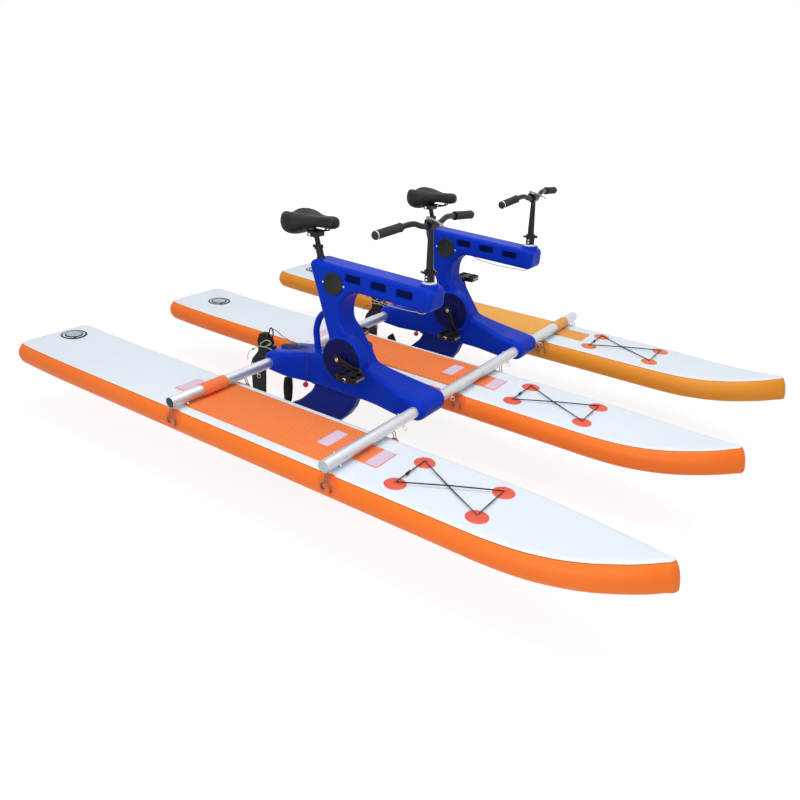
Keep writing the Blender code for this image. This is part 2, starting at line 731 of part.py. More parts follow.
def drive_leg(unit):
    """Swept leg below the frame, with the lower gear housing along the propeller's axis."""
    top = FRAME_BOTTOM_Z - GAP
    outline = rounded(
        [
            (0.058, top - 0.001, 0.0165),
            (-0.180, top - 0.001, 0.0165),
            (-0.192, 0.050, 0.060),
            (-0.272, -0.028, 0.150),
            (-0.336, -0.068, 0.0165),
            (-0.336, -0.118, 0.0165),
            (-0.180, -0.124, 0.120),
            (-0.075, -0.098, 0.090),
            (0.020, -0.005, 0.120),
        ]
    )
    body = solid(f"drive_leg_{unit}_unit", extruded(outline, 0.034, 0.016), "frame_blue")
    flange = bmesh.new()
    rear, front, half = -0.192, 0.072, 0.046
    corners = [(rear, -half, 0.012), (front, -half, 0.012), (front, half, 0.012), (rear, half, 0.012)]
    loft(flange, [[(x, y, z) for x, y in rounded(corners)] for z in (top - 0.008, top)])
    housing = [(0.020, 0.0), (0.033, 0.012), (0.035, 0.030)]
    housing += [(0.035, 0.170), (0.030, 0.205), (0.016, 0.225)]
    matrix = direction_matrix((-0.3355, 0, PROP_CROSSING.z), (1, 0, 0), (0, 0, 1))
    joined = [solid("flange", flange, "frame_blue"), turned("housing", housing, "frame_blue", 14, matrix)]
    combine(body, joined, "UNION")
    down = shaft_direction()
    crossing = PROP_CROSSING
    prop_hole = PROP_SHAFT_RADIUS + 2 * GAP
    outlet = crossing - Vector((0.210, 0, 0))
    pinion_end = crossing + Vector((0.036, 0, 0))
    cuts = [
        rod("shaft_bore", crossing - 0.35 * down, crossing, DRIVE_SHAFT_RADIUS + 0.002, "frame_blue"),
        rod("gear_room", crossing - 0.034 * down, crossing + 0.006 * down, 0.0255, "frame_blue", 12),
        rod("prop_bore", outlet, crossing, prop_hole, "frame_blue"),
        rod("pinion_room", crossing, pinion_end, 0.0145, "frame_blue"),
    ]
    combine(body, cuts, "DIFFERENCE")
    return body


def bevel_gear(name, teeth, pitch_angle, cone_distance, module, matrix, tooth_first):
    """Bevel gear with its cone's apex at the origin and its axis along Z, tooth or gap towards X."""
    addendum = 0.55 * module
    dedendum = 0.80 * module
    shift = 0.0 if tooth_first else 0.5
    marks = ((-0.25, -dedendum), (-0.12, addendum), (0.12, addendum), (0.25, -dedendum))
    rings = []
    for scale in (GEAR_FACE, 1.0):
        ring = []
        for tooth in range(teeth):
            for offset, depth in marks:
                angle = math.tau * (tooth + shift + offset) / teeth
                along = cone_distance * math.cos(pitch_angle) - depth * math.sin(pitch_angle)
                radius = cone_distance * math.sin(pitch_angle) + depth * math.cos(pitch_angle)
                ring.append(
                    Vector((radius * math.cos(angle), radius * math.sin(angle), along)) * scale
                )
        rings.append(ring)
    mesh = bmesh.new()
    for loop in loft_sides(mesh, rings):
        roots = []
        for tooth in range(teeth):
            left, tip_left, tip_right, right = loop[4 * tooth : 4 * tooth + 4]
            mesh.faces.new((left, tip_left, tip_right, right))
            roots += [left, right]
        mesh.faces.new(roots)
    mesh.transform(matrix)
    return solid(name, mesh, "steel", smooth_angle=20)


def loft_sides(mesh, rings):
    """Two rings joined by their sides only."""
    first, second = [[mesh.verts.new(point) for point in ring] for ring in rings]
    for i in range(len(first)):
        j = (i + 1) % len(first)
        mesh.faces.new((first[i], first[j], second[j], second[i]))
    return first, second


def pitch_angles(ratio, shaft_angle):
    """Cone half angles of the driving and the driven bevel gear."""
    driven = math.atan2(math.sin(shaft_angle), ratio + math.cos(shaft_angle))
    return shaft_angle - driven, driven


def gear_pair(teeth, pinion_teeth, apex, gear_axis, pinion_axis, cone_distance):
    """The two gears that mesh about one apex."""
    shaft_angle = Vector(gear_axis).angle(Vector(pinion_axis))
    gear_angle, pinion_angle = pitch_angles(teeth / pinion_teeth, shaft_angle)
    module = 2 * cone_distance * math.sin(gear_angle) / teeth
    gear_matrix = direction_matrix(apex, gear_axis, pinion_axis)
    pinion_matrix = direction_matrix(apex, pinion_axis, gear_axis)
    gear = bevel_gear("gear", teeth, gear_angle, cone_distance, module, gear_matrix, True)
    pinion = bevel_gear("pinion", pinion_teeth, pinion_angle, cone_distance, module, pinion_matrix, False)
    return gear, pinion


def drive_train(unit):
    """Crank axle, drive shaft and propeller with the two bevel gear pairs that couple them."""
    down = shaft_direction()
    across = Vector((0, 1, 0))
    top_distance = CRANK_GEAR_RADIUS / math.sin(math.atan(CRANK_GEAR_TEETH / TOP_PINION_TEETH))
    crank_gear, top_pinion = gear_pair(
        CRANK_GEAR_TEETH, TOP_PINION_TEETH, CRANK_CENTRE, across, down, top_distance
    )
    forward = Vector((1, 0, 0))
    lower_angle = (-down).angle(forward)
    pinion_angle = pitch_angles(LOWER_GEAR_TEETH / PROP_PINION_TEETH, lower_angle)[1]
    lower_distance = PROP_PINION_RADIUS / math.sin(pinion_angle)
    lower_gear, prop_pinion = gear_pair(
        LOWER_GEAR_TEETH, PROP_PINION_TEETH, PROP_CROSSING, -down, forward, lower_distance
    )
    axle_half = CRANK_SIDE - 0.002
    axle = turned(
        f"crank_axle_{unit}_unit",
        [
            (0.0080, -axle_half - 0.012),
            (0.0080, -axle_half),
            (AXLE_RADIUS, -axle_half),
            (AXLE_RADIUS, axle_half),
            (0.0080, axle_half),
            (0.0080, axle_half + 0.012),
        ],
        "steel",
        16,
        direction_matrix(CRANK_CENTRE, across, (1, 0, 0)),
    )
    combine(axle, [crank_gear], "UNION")
    shaft_start = CRANK_CENTRE + 0.042 * down
    shaft_end = PROP_CROSSING - 0.016 * down
    shaft = rod(f"drive_shaft_{unit}_unit", shaft_start, shaft_end, DRIVE_SHAFT_RADIUS, "steel", 12)
    combine(shaft, [top_pinion, lower_gear], "UNION")
    return axle, shaft, propeller(unit, prop_pinion)


def propeller(unit, pinion):
    """Two twisted blades on a hub, with the shaft and pinion that reach into the gear housing."""
    hub = [(0.012, -0.034), (0.018, -0.022), (0.019, 0.0), (0.018, 0.0255)]
    centre = Vector((PROP_CENTRE_X, 0, PROP_CROSSING.z))
    body = turned(
        f"propeller_{unit}_unit", hub, "black_plastic", 16, direction_matrix(centre, (1, 0, 0), (0, 0, 1))
    )
    joined = [pinion]
    shaft_end = (PROP_CROSSING.x + 0.024, 0, PROP_CROSSING.z)
    joined.append(rod("shaft", centre, shaft_end, PROP_SHAFT_RADIUS, "steel", 12))
    stations = (
        # radius, share of the chord, pitch
        (0.010, 0.55, 62),
        (0.045, 0.90, 48),
        (0.090, 1.00, 33),
        (0.130, 0.72, 24),
        (PROP_RADIUS, 0.30, 22),
    )
    for start_angle in (0, 180):
        mesh = bmesh.new()
        rings = []
        for radius, chord_share, pitch in stations:
            half_chord = PROP_CHORD / 2 * chord_share
            half_thick = 0.0045 * (1 - 0.65 * radius / PROP_RADIUS)
            pitch_angle = math.radians(pitch)
            ring = []
            for k in range(6):
                turn = math.tau * k / 6
                chordwise = half_chord * math.cos(turn)
                thickwise = half_thick * math.sin(turn)
                axial = chordwise * math.sin(pitch_angle) + thickwise * math.cos(pitch_angle)
                sideways = chordwise * math.cos(pitch_angle) - thickwise * math.sin(pitch_angle)
                ring.append(Vector((axial, sideways, radius)))
            rings.append(ring)
        loft(mesh, rings)
        spin = Matrix.Rotation(math.radians(start_angle + PROP_ANGLE[unit]), 4, "X")
        mesh.transform(Matrix.Translation(centre) @ spin)
        joined.append(solid("blade", mesh, "black_plastic"))
    combine(body, joined, "UNION")
    return body


def crank_arm(unit, side_name):
    """Crank with its pedal spindle, on the left (port) or right (starboard) end of the axle."""
    side = 1 if side_name == "left" else -1
    angle = math.radians(CRANK_ANGLE[unit] + (180 if side_name == "left" else 0))
    eye = arc((0, 0), 0.019, 90, 270, 5)
    toe = arc((CRANK_LENGTH, 0), 0.014, -90, 90, 4)
    waist = [(0.045, -0.0115), (0.080, -0.0100)]
    outline = [*eye, *waist, *toe, *[(x, -z) for x, z in reversed(waist)]]
    mesh = extruded(outline, CRANK_THICKNESS / 2, 0.003, edge_steps=1)
    body = solid(f"crank_arm_{side_name}_{unit}_unit", mesh, "black_metal")
    spindle_end = (CRANK_LENGTH, side * 0.112, 0)
    spindle = rod("spindle", (CRANK_LENGTH, 0, 0), spindle_end, SPINDLE_RADIUS, "steel", 8)
    combine(body, [spindle], "UNION")
    bore = rod("bore", (0, -0.03, 0), (0, 0.03, 0), 0.0080 + GAP, "black_metal", 12)
    combine(body, [bore], "DIFFERENCE")
    middle = side * (CRANK_SIDE + CRANK_THICKNESS / 2)
    turn = Matrix.Rotation(-angle, 4, "Y")
    body.data.transform(Matrix.Translation(CRANK_CENTRE + Vector((0, middle, 0))) @ turn)
    pin = CRANK_CENTRE + CRANK_LENGTH * Vector((math.cos(angle), 0, math.sin(angle)))
    pin.y = side * PEDAL_CENTRE_SIDE
    return body, pin


def pedal(unit, side_name, centre):
    """Platform pedal: an open cage round a barrel that turns on the spindle."""
    length, width, height = PEDAL_SIZE
    corners = [
        (-length / 2, -width / 2, 0.016),
        (length / 2, -width / 2, 0.016),
        (length / 2, width / 2, 0.016),
        (-length / 2, width / 2, 0.016),
    ]
    mesh = bmesh.new()
    half = height / 2
    loft(mesh, [[(x, y, z) for x, y in rounded(corners)] for z in (-half, half)])
    body = solid(f"pedal_{side_name}_{unit}_unit", mesh, "black_plastic")
    windows = []
    for x in (-0.0285, 0.0285):
        for y in (-0.0195, 0.0195):
            low = (x - 0.0125, y - 0.0150, -0.02)
            high = (x + 0.0125, y + 0.0150, 0.02)
            windows.append(block("window", low, high, "black_plastic"))
    windows.append(rod("bore", (0, -0.06, 0), (0, 0.06, 0), SPINDLE_RADIUS + 2 * GAP, "black_plastic", 12))
    combine(body, windows, "DIFFERENCE")
    body.data.transform(Matrix.Translation(centre))
    return body


def rudder_bracket(unit):
    """Head that swings on the hinge pin and holds the blade between two cheeks."""
    lug_low = BAR_Z - 0.025 - 0.001
    lug_high = BAR_Z + 0.022 + 0.001
    outline = rounded(
        [
            (-0.438, lug_high, 0.0),
            (-0.438, lug_high + 0.018, 0.004),
            (-0.455, 0.262, 0.012),
            (-0.525, 0.262, 0.016),
            (-0.550, 0.190, 0.020),
            (-0.534, 0.1045, 0.008),
            (-0.438, 0.1045, 0.004),
            (-0.438, lug_low, 0.0),
            (-0.4685, lug_low, 0.0),
            (-0.4685, lug_high, 0.0),
        ]
    )
    mesh = extruded(outline, 0.0135, 0.003, edge_steps=1)
    body = solid(f"rudder_bracket_{unit}_unit", mesh, "black_plastic")
    slot = block("slot", (-0.580, -0.0068, 0.08), (-0.4875, 0.0068, 0.244), "black_plastic")
    combine(body, [slot], "DIFFERENCE")
    pin = rod("pin", (RUDDER_PIVOT_X, 0, 0.108), (RUDDER_PIVOT_X, 0, lug_high + 0.008), 0.0040, "steel", 12)
    reach = Vector((0, 0.015, 0))
    bolt = rod("bolt", KICK_PIVOT - reach, KICK_PIVOT + reach, 0.0040, "steel", 12)
    combine(body, [pin, bolt], "UNION")
    return body


def rudder_blade(unit):
    """Flat blade that hangs in the head and kicks up backwards."""
    top = KICK_PIVOT.z + 0.0225
    outline = rounded(
        [
            (-0.4935, top, 0.0205),
            (-0.5365, top, 0.0205),
            (-0.5400, 0.140, 0.030),
            (-0.5880, 0.080, 0.040),
            (-0.5750, RUDDER_TIP_Z, 0.030),
            (-0.5020, RUDDER_TIP_Z, 0.030),
        ]
    )
    mesh = extruded(outline, 0.0060, 0.0045, edge_steps=1)
    body = solid(f"rudder_blade_{unit}_unit", mesh, "black_plastic")
    reach = Vector((0, 0.02, 0))
    bore = rod("bore", KICK_PIVOT - reach, KICK_PIVOT + reach, 0.0044, "black_plastic", 10)
    combine(body, [bore], "DIFFERENCE")
    return body


def lift_cord(unit):
    """Cord from above the rudder head along the rear arm to a ball at its near side."""
    side = -0.0705
    ball = Vector((-0.187, -0.0810, 0.0925))
    route = [
        (-0.458, 0.000, 0.2660),
        (-0.430, 0.000, 0.2610),
        (-0.385, -0.006, 0.2480),
        (-0.300, -0.020, 0.2380),
        (-0.235, -0.040, 0.2400),
        (-0.200, -0.060, 0.2360),
        (-0.188, side, 0.2180),
        (-0.187, side, 0.1700),
        (-0.187, side - 0.002, 0.1300),
        tuple(ball),
    ]
    body = swept(f"lift_cord_{unit}_unit", smooth_path(route, 2), 0.0015, "cord_grey", sides=5)
    mesh = bmesh.new()
    bmesh.ops.create_uvsphere(mesh, u_segments=8, v_segments=6, radius=0.0125)
    mesh.transform(Matrix.Translation(ball))
    combine(body, [solid("ball", mesh, "ball_red", smooth_angle=60)], "UNION")
    return body


def wrapping_route(distance, clamp_radius):
    """Lever route from its pin round one side of a clamp whose axis is this far away along X."""
    reach = clamp_radius + 0.0050
    route = arc((distance, 0), reach, 205, 300, 4)
    tip = arc((distance, 0), reach + 0.006, 328, 330, 1)
    return [(0.0, 0.0), *route, tip[0]]


def quick_lever(name, matrix, route, material_name):
    """Cam lever: a barrel round its pin and a flat paddle along the route, in the plane across the pin."""
    barrel = turned(name, [(0.0055, -0.006), (0.0055, 0.006)], material_name, 12, matrix)
    width = 0.0045
    thick = 0.0020
    rings = []
    for i, point in enumerate(route):
        before = Vector(route[max(i - 1, 0)])
        after = Vector(route[min(i + 1, len(route) - 1)])
        along = (after - before).normalized()
        normal = Vector((-along.y, along.x)) * thick
        high = Vector(point) + normal
        low = Vector(point) - normal
        corners = ((high, -width), (low, -width), (low, width), (high, width))
        rings.append([(corner.x, corner.y, z) for corner, z in corners])
    mesh = bmesh.new()
    loft(mesh, rings)
    mesh.transform(matrix)
    combine(barrel, [solid("paddle", mesh, material_name)], "UNION")
    return barrel


def seat_parts(unit):
    """Seat post with its rail clamp, saddle on rails and quick-release lever."""
    up = seat_direction()
    top = SEAT_TUBE_TOP + 0.098 * up
    bottom = SEAT_TUBE_TOP - (SEAT_BORE_DEPTH - 0.022) * up
    post = rod(f"seat_post_{unit}_unit", bottom, top, SEAT_POST_RADIUS, "black_metal", 16)
    clamp_middle = top.x
    clamp_low = (clamp_middle - 0.022, -0.030, 0.738)
    clamp_high = (clamp_middle + 0.022, 0.030, SADDLE_RAIL_Z)
    clamp = block("clamp", clamp_low, clamp_high, "black_metal")
    combine(post, [clamp], "UNION")
    grooves = []
    for y in (-0.022, 0.022):
        start = (clamp_middle - 0.06, y, SADDLE_RAIL_Z)
        end = (clamp_middle + 0.06, y, SADDLE_RAIL_Z)
        grooves.append(rod("groove", start, end, SADDLE_RAIL_RADIUS + 2 * GAP, "black_metal", 12))
    combine(post, grooves, "DIFFERENCE")
    seat = saddle(unit)
    pivot = SEAT_TUBE_TOP + (SEAT_TUBE_HEIGHT - 0.0065) * up + Vector((-0.0255, 0, 0))
    matrix = direction_matrix(pivot, up, (1, 0, 0))
    lever = quick_lever(f"seat_lever_{unit}_unit", matrix, wrapping_route(0.0255, 0.0185), "black_metal")
    return post, seat, lever, pivot


def saddle(unit):
    """Padded saddle: wide twin-lobed rear, narrow nose, crowned top, drawn-in sides, two rails."""
    stations = (
        # x, half width, top, bottom, dip between the lobes
        (SADDLE_REAR_X, 0.034, 0.826, 0.792, 0.006),
        (-0.336, 0.072, 0.838, 0.778, 0.012),
        (-0.315, 0.095, 0.845, 0.770, 0.014),
        (-0.285, SADDLE_HALF_WIDTH, 0.846, 0.768, 0.012),
        (-0.250, 0.086, 0.842, 0.770, 0.009),
        (-0.215, 0.058, 0.836, 0.774, 0.006),
        (-0.180, 0.036, 0.831, 0.779, 0.004),
        (-0.140, 0.026, 0.828, 0.783, 0.002),
        (-0.108, 0.023, 0.823, 0.788, 0.001),
        (SADDLE_NOSE_X, 0.012, 0.815, 0.796, 0.0),
    )
    rings = []
    around = 14
    for x, half, top, bottom, dip in stations:
        middle = bottom + 0.45 * (top - bottom)
        ring = []
        for k in range(around):
            turn = math.tau * k / around
            across = math.cos(turn)
            up = math.sin(turn)
            y = half * math.copysign(abs(across) ** 0.8, across)
            if up >= 0:
                z = middle + (top - middle) * up**0.7 - dip * max(0.0, 1 - abs(across) / 0.5)
            else:
                z = middle - (middle - bottom) * abs(up) ** 0.6
                y *= 1 - 0.10 * abs(up)
            ring.append(Vector((x, y, z)))
        rings.append(ring)
    mesh = bmesh.new()
    loft(mesh, rings)
    body = solid(f"saddle_{unit}_unit", mesh, "saddle_cover", smooth_angle=60)
    rails = []
    for side in (-1, 1):
        route = [
            (-0.318, side * 0.036, 0.784),
            (-0.300, side * 0.030, 0.766),
            (-0.278, side * 0.022, SADDLE_RAIL_Z),
            (-0.180, side * 0.022, SADDLE_RAIL_Z),
            (-0.158, side * 0.017, 0.770),
            (-0.142, side * 0.012, 0.792),
        ]
        rails.append(swept("rail", [Vector(point) for point in route], SADDLE_RAIL_RADIUS, "steel", sides=6))
    combine(body, rails, "UNION")
    body.data.transform(Matrix.Translation((SADDLE_SHIFT[unit], 0, 0)))
    return body


def steering_parts(unit):
    """Steering tube with its collar, telescopic stem with the bar clamp, levers, handlebar and grips."""
    up = steer_direction()
    matrix = direction_matrix(STEER_BASE, up)
    bore = STEM_RADIUS + GAP
    collar_top = 0.056
    tube_profile = [
        (bore, -0.060),
        (STEER_TUBE_RADIUS, -0.060),
        (STEER_TUBE_RADIUS, 0.004 + GAP),
        (0.031, 0.004 + GAP),
        (0.031, 0.011),
        (0.020, 0.013),
        (0.020, collar_top - 0.014),
        (0.0225, collar_top - 0.013),
        (0.0225, collar_top),
        (bore, collar_top),
    ]
    tube = turned(f"steering_tube_{unit}_unit", tube_profile, "black_metal", 16, matrix, cyclic=True)
    shoulder = collar_top + GAP
    clamp_height = (BAR_CLAMP - STEER_BASE).dot(up)
    stem_profile = [
        (STEM_RADIUS, -0.045),
        (STEM_RADIUS, shoulder),
        (0.0150, shoulder),
        (0.0150, shoulder + 0.010),
        (0.0110, clamp_height - 0.020),
        (0.0110, clamp_height),
    ]
    stem = turned(f"stem_{unit}_unit", stem_profile, "black_metal", 16, matrix)
    half = Vector((0, 0.022, 0))
    clamp = rod("clamp", BAR_CLAMP - half, BAR_CLAMP + half, 0.0190, "black_metal", 16)
    ear_low = BAR_CLAMP + Vector((-0.026, -0.010, 0.006))
    ear_high = BAR_CLAMP + Vector((-0.008, 0.010, 0.018))
    ear = block("ear", ear_low, ear_high, "black_metal")
    combine(stem, [clamp, ear], "UNION")
    cut = rod("cut", BAR_CLAMP - 2 * half, BAR_CLAMP + 2 * half, HANDLEBAR_RADIUS + GAP, "black_metal", 16)
    combine(stem, [cut], "DIFFERENCE")
    height_pivot = STEER_BASE + (collar_top - 0.0065) * up + Vector((0.0295, 0, 0))
    height_matrix = direction_matrix(height_pivot, -up, (-1, 0, 0))
    route = wrapping_route(0.0295, 0.0225)
    height_lever = quick_lever(f"height_lever_{unit}_unit", height_matrix, route, "black_metal")
    stem_pivot = BAR_CLAMP + Vector((-0.018, 0, 0.0245))
    along = Vector((0.075, 0, -0.020)).normalized()
    lever_matrix = direction_matrix(stem_pivot, (0, -1, 0), along)
    straight = [(0.0, 0.0), (0.020, 0.004), (0.050, 0.005), (0.078, 0.001)]
    stem_lever = quick_lever(f"stem_lever_{unit}_unit", lever_matrix, straight, "lever_grey")
    return tube, stem, height_lever, height_pivot, stem_lever, stem_pivot


def handlebar_route(side):
    """Half of the handlebar, from the clamp out to its end."""
    return [
        Vector((BAR_CLAMP.x, 0, BAR_CLAMP.z)),
        Vector((BAR_CLAMP.x, side * 0.030, BAR_CLAMP.z)),
        Vector((0.348, side * 0.060, 0.8790)),
        Vector((0.344, side * 0.096, 0.8905)),
        Vector((0.340, side * 0.128, 0.8915)),
        Vector((0.337, side * 0.154, 0.8885)),
        Vector((0.328, side * 0.301, 0.8750)),
    ]


def handlebar_parts(unit):
    """Riser handlebar and the two rubber grips over its straight ends."""
    right = handlebar_route(-1)
    left = handlebar_route(1)
    middle = [*reversed(right[1:-1]), *left[1:-1]]
    path = [right[-1], *middle, left[-1]]
    bar = swept(f"handlebar_{unit}_unit", path, HANDLEBAR_RADIUS, "black_metal", sides=10)
    grips = []
    for side_name, route in (("left", left), ("right", right)):
        outward = (route[-1] - route[-2]).normalized()
        start = route[-1] + 0.004 * outward
        matrix = direction_matrix(start, -outward, (0, 0, 1))
        hole = HANDLEBAR_RADIUS + 2 * GAP
        profile = [
            (hole, 0.0035),
            (hole, GRIP_LENGTH),
            (GRIP_RADIUS + 0.001, GRIP_LENGTH),
            (GRIP_RADIUS + 0.001, GRIP_LENGTH - 0.006),
            (GRIP_RADIUS, GRIP_LENGTH - 0.008),
            (GRIP_RADIUS, 0.006),
            (GRIP_RADIUS - 0.004, 0.0),
        ]
        grips.append(turned(f"grip_{side_name}_{unit}_unit", profile, "grip_rubber", 12, matrix))
    return bar, grips


def pivot_empty(name, parent, pivot, axis, degrees):
    """An empty that turns its children about an axis through a point of the parent's frame."""
    made = bpy.data.objects.new(name, None)
    turn = Matrix.Rotation(math.radians(degrees), 4, Vector(axis))
    made.matrix_local = Matrix.Translation(pivot) @ turn @ Matrix.Translation(-Vector(pivot))
    made.parent = parent
    bpy.context.scene.collection.objects.link(made)
    return made


def pedal_unit(unit):
    """Everything between two neighbouring hulls."""
    base = bpy.data.objects.new(f"{unit}_unit", None)
    base.location = (0, UNIT_PLACES[unit], 0)
    bpy.context.scene.collection.objects.link(base)
    steering_turn = STEERING_TURN[unit]
    hinge = Vector((RUDDER_PIVOT_X, 0, BAR_Z))
    steering = pivot_empty(f"steering_{unit}_unit", base, STEER_BASE, steer_direction(), steering_turn)
    rudder = pivot_empty(f"rudder_{unit}_unit", base, hinge, (0, 0, 1), RUDDER_RATIO * steering_turn)
    place(pedal_frame(unit), base)
    place(drive_leg(unit), base)
    axle, shaft, screw = drive_train(unit)
    place(axle, base, CRANK_CENTRE)
    place(shaft, base, PROP_CROSSING)
    place(screw, base, PROP_CROSSING)
    for side_name in ("left", "right"):
        arm, pin = crank_arm(unit, side_name)
        place(arm, base, CRANK_CENTRE)
        place(pedal(unit, side_name, pin), base, pin)
    place(rudder_bracket(unit), rudder, hinge)
    place(rudder_blade(unit), rudder, KICK_PIVOT)
    place(lift_cord(unit), base)
    post, seat, seat_lever, seat_pivot = seat_parts(unit)
    place(post, base, SEAT_TUBE_TOP)
    place(seat, base, SEAT_TUBE_TOP)
    place(seat_lever, base, seat_pivot)
    tube, stem, height_lever, height_pivot, stem_lever, stem_pivot = steering_parts(unit)
    place(tube, steering, STEER_BASE)
    place(stem, steering, STEER_BASE)
    place(height_lever, steering, height_pivot)
    place(stem_lever, steering, stem_pivot)
    bar, grips = handlebar_parts(unit)
    place(bar, steering, BAR_CLAMP)
    for grip in grips:
        place(grip, steering, BAR_CLAMP)


def main():
    for found in list(bpy.data.objects):
        bpy.data.objects.remove(found)
    for place_name in HULL_PLACES:
        hull(place_name)
        bungee(place_name)
        strap(f"front_strap_{place_name}", place_name, BAR_X)
        strap(f"rear_strap_{place_name}", place_name, -BAR_X)
    for half in ("starboard", "port"):
        crossbar(f"front_crossbar_{half}", BAR_X, half, capped=half == "starboard")
        crossbar(f"rear_crossbar_{half}", -BAR_X, half, capped=False)
    for unit in UNIT_PLACES:
        pedal_unit(unit)


main()
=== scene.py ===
"""Dresses the inflatable pedal boat: three floats, two crossbars and two pedal units side by side.

Metres, bows along +X, port along +Y, up along +Z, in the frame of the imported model. The pieces of a pedal
unit are made round the unit's own origin, midway between its bars, and are then moved to their place.
"""

import json
import logging
import math
from collections.abc import Sequence
from dataclasses import dataclass
from enum import Enum

import bmesh
import bpy
from mathutils import Matrix, Vector

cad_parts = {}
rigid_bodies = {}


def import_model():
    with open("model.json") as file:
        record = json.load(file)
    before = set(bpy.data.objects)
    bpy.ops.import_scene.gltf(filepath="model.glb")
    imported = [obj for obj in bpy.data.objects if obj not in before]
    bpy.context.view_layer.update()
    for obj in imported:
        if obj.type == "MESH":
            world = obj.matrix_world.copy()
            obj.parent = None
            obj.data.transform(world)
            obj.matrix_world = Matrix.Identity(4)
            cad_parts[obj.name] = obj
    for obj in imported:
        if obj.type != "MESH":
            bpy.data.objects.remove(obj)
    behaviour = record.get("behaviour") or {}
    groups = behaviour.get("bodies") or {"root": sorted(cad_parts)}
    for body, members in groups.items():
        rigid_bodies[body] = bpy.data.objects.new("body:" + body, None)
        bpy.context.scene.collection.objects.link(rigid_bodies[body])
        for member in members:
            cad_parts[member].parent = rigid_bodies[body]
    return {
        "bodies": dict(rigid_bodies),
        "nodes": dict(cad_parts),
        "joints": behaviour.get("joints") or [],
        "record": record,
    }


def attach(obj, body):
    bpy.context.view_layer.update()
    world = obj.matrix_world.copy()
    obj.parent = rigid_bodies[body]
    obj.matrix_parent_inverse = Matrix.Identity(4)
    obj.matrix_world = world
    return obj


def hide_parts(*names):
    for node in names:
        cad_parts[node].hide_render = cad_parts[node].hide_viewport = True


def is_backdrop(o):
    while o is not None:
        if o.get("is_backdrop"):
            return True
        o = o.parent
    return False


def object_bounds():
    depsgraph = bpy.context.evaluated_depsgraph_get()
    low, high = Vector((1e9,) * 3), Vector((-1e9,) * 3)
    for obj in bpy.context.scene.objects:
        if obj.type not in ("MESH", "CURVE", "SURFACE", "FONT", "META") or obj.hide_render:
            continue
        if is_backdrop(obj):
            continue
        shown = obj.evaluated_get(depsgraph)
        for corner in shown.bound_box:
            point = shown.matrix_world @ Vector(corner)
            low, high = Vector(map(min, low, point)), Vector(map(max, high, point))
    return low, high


LOG = logging.getLogger("pedal_boat")
MILLIMETRE = 0.001
WELD = 0.001 * MILLIMETRE
WAVE_LENGTH = math.tau / 20  # metres from band to band in a wave texture at scale 1
BAR_X = 0.39
BAR_Z = 0.1455
BAR_RADIUS = {"starboard": 0.0235, "port": 0.0255}
SEAT_TUBE_TOP = Vector((-0.178, 0.0, 0.655))
SEAT_UP = Vector((-math.sin(math.radians(17)), 0.0, math.cos(math.radians(17))))
STEER_BASE = Vector((0.361, 0.0, 0.65))
STEER_UP = Vector((-math.sin(math.radians(3.2)), 0.0, math.cos(math.radians(3.2))))
BAR_CLAMP = Vector((0.349, 0.0, 0.875))
CRANK_CENTRE = Vector((0.01, 0.0, 0.275))
RUDDER_HINGE = Vector((-0.452, 0.0, BAR_Z))
KICK_PIVOT = Vector((-0.515, 0.0, 0.19))
ROPE_KNOT = (-0.548, -0.03, 0.154)
UPRIGHT = Matrix.Rotation(math.pi / 2, 4, "X")

Points = Sequence[Sequence[float]]
Socket = bpy.types.NodeSocket


class Place(Enum):
    """The three floats, named by side, with their distance to port."""

    STARBOARD = -0.9
    CENTRE = 0.0
    PORT = 0.9

    @property
    def word(self) -> str:
        """The word that node names use for this side."""
        return self.name.lower()


class Unit(Enum):
    """The two pedal units, named by side, with their distance to port."""

    STARBOARD = -0.45
    PORT = 0.45

    @property
    def word(self) -> str:
        """The word that node and body names use for this unit."""
        return f"{self.name.lower()}_unit"

    @property
    def steering_turn(self) -> float:
        """How far the handlebar is turned in the photograph, in radians."""
        return math.radians({"STARBOARD": -4.5, "PORT": 1.5}[self.name])

    @property
    def saddle_shift(self) -> float:
        """How far the saddle is pushed forward on its clamp."""
        return {"STARBOARD": 0.0, "PORT": 0.03}[self.name]

    @property
    def fixed(self) -> Matrix:
        """Places what doesn't steer."""
        return Matrix.Translation((0.0, self.value, 0.0))

    @property
    def steered(self) -> Matrix:
        """Places what turns with the handlebar."""
        turn = Matrix.Rotation(self.steering_turn, 4, STEER_UP)
        return self.fixed @ Matrix.Translation(STEER_BASE) @ turn @ Matrix.Translation(-STEER_BASE)

    @property
    def ruddered(self) -> Matrix:
        """Places what turns with the rudder."""
        turn = Matrix.Rotation(-0.8 * self.steering_turn, 4, "Z")
        return self.fixed @ Matrix.Translation(RUDDER_HINGE) @ turn @ Matrix.Translation(-RUDDER_HINGE)


class Side(Enum):
    """The rider's left and right, with the sign of the distance to port."""

    LEFT = 1
    RIGHT = -1

    @property
    def word(self) -> str:
        """The word that node names use for this side."""
        return self.name.lower()


# Finishes


def linear(code: str) -> tuple[float, float, float, float]:
    """Turns an sRGB hex colour into the linear one that shaders take.

    Args:
        code: six hex digits.

    Returns:
        Red, green, blue and an alpha of one.
    """
    channels = []
    for start in (0, 2, 4):
        value = int(code[start : start + 2], 16) / 255
        channels.append(value / 12.92 if value <= 0.04045 else ((value + 0.055) / 1.055) ** 2.4)
    return (channels[0], channels[1], channels[2], 1.0)


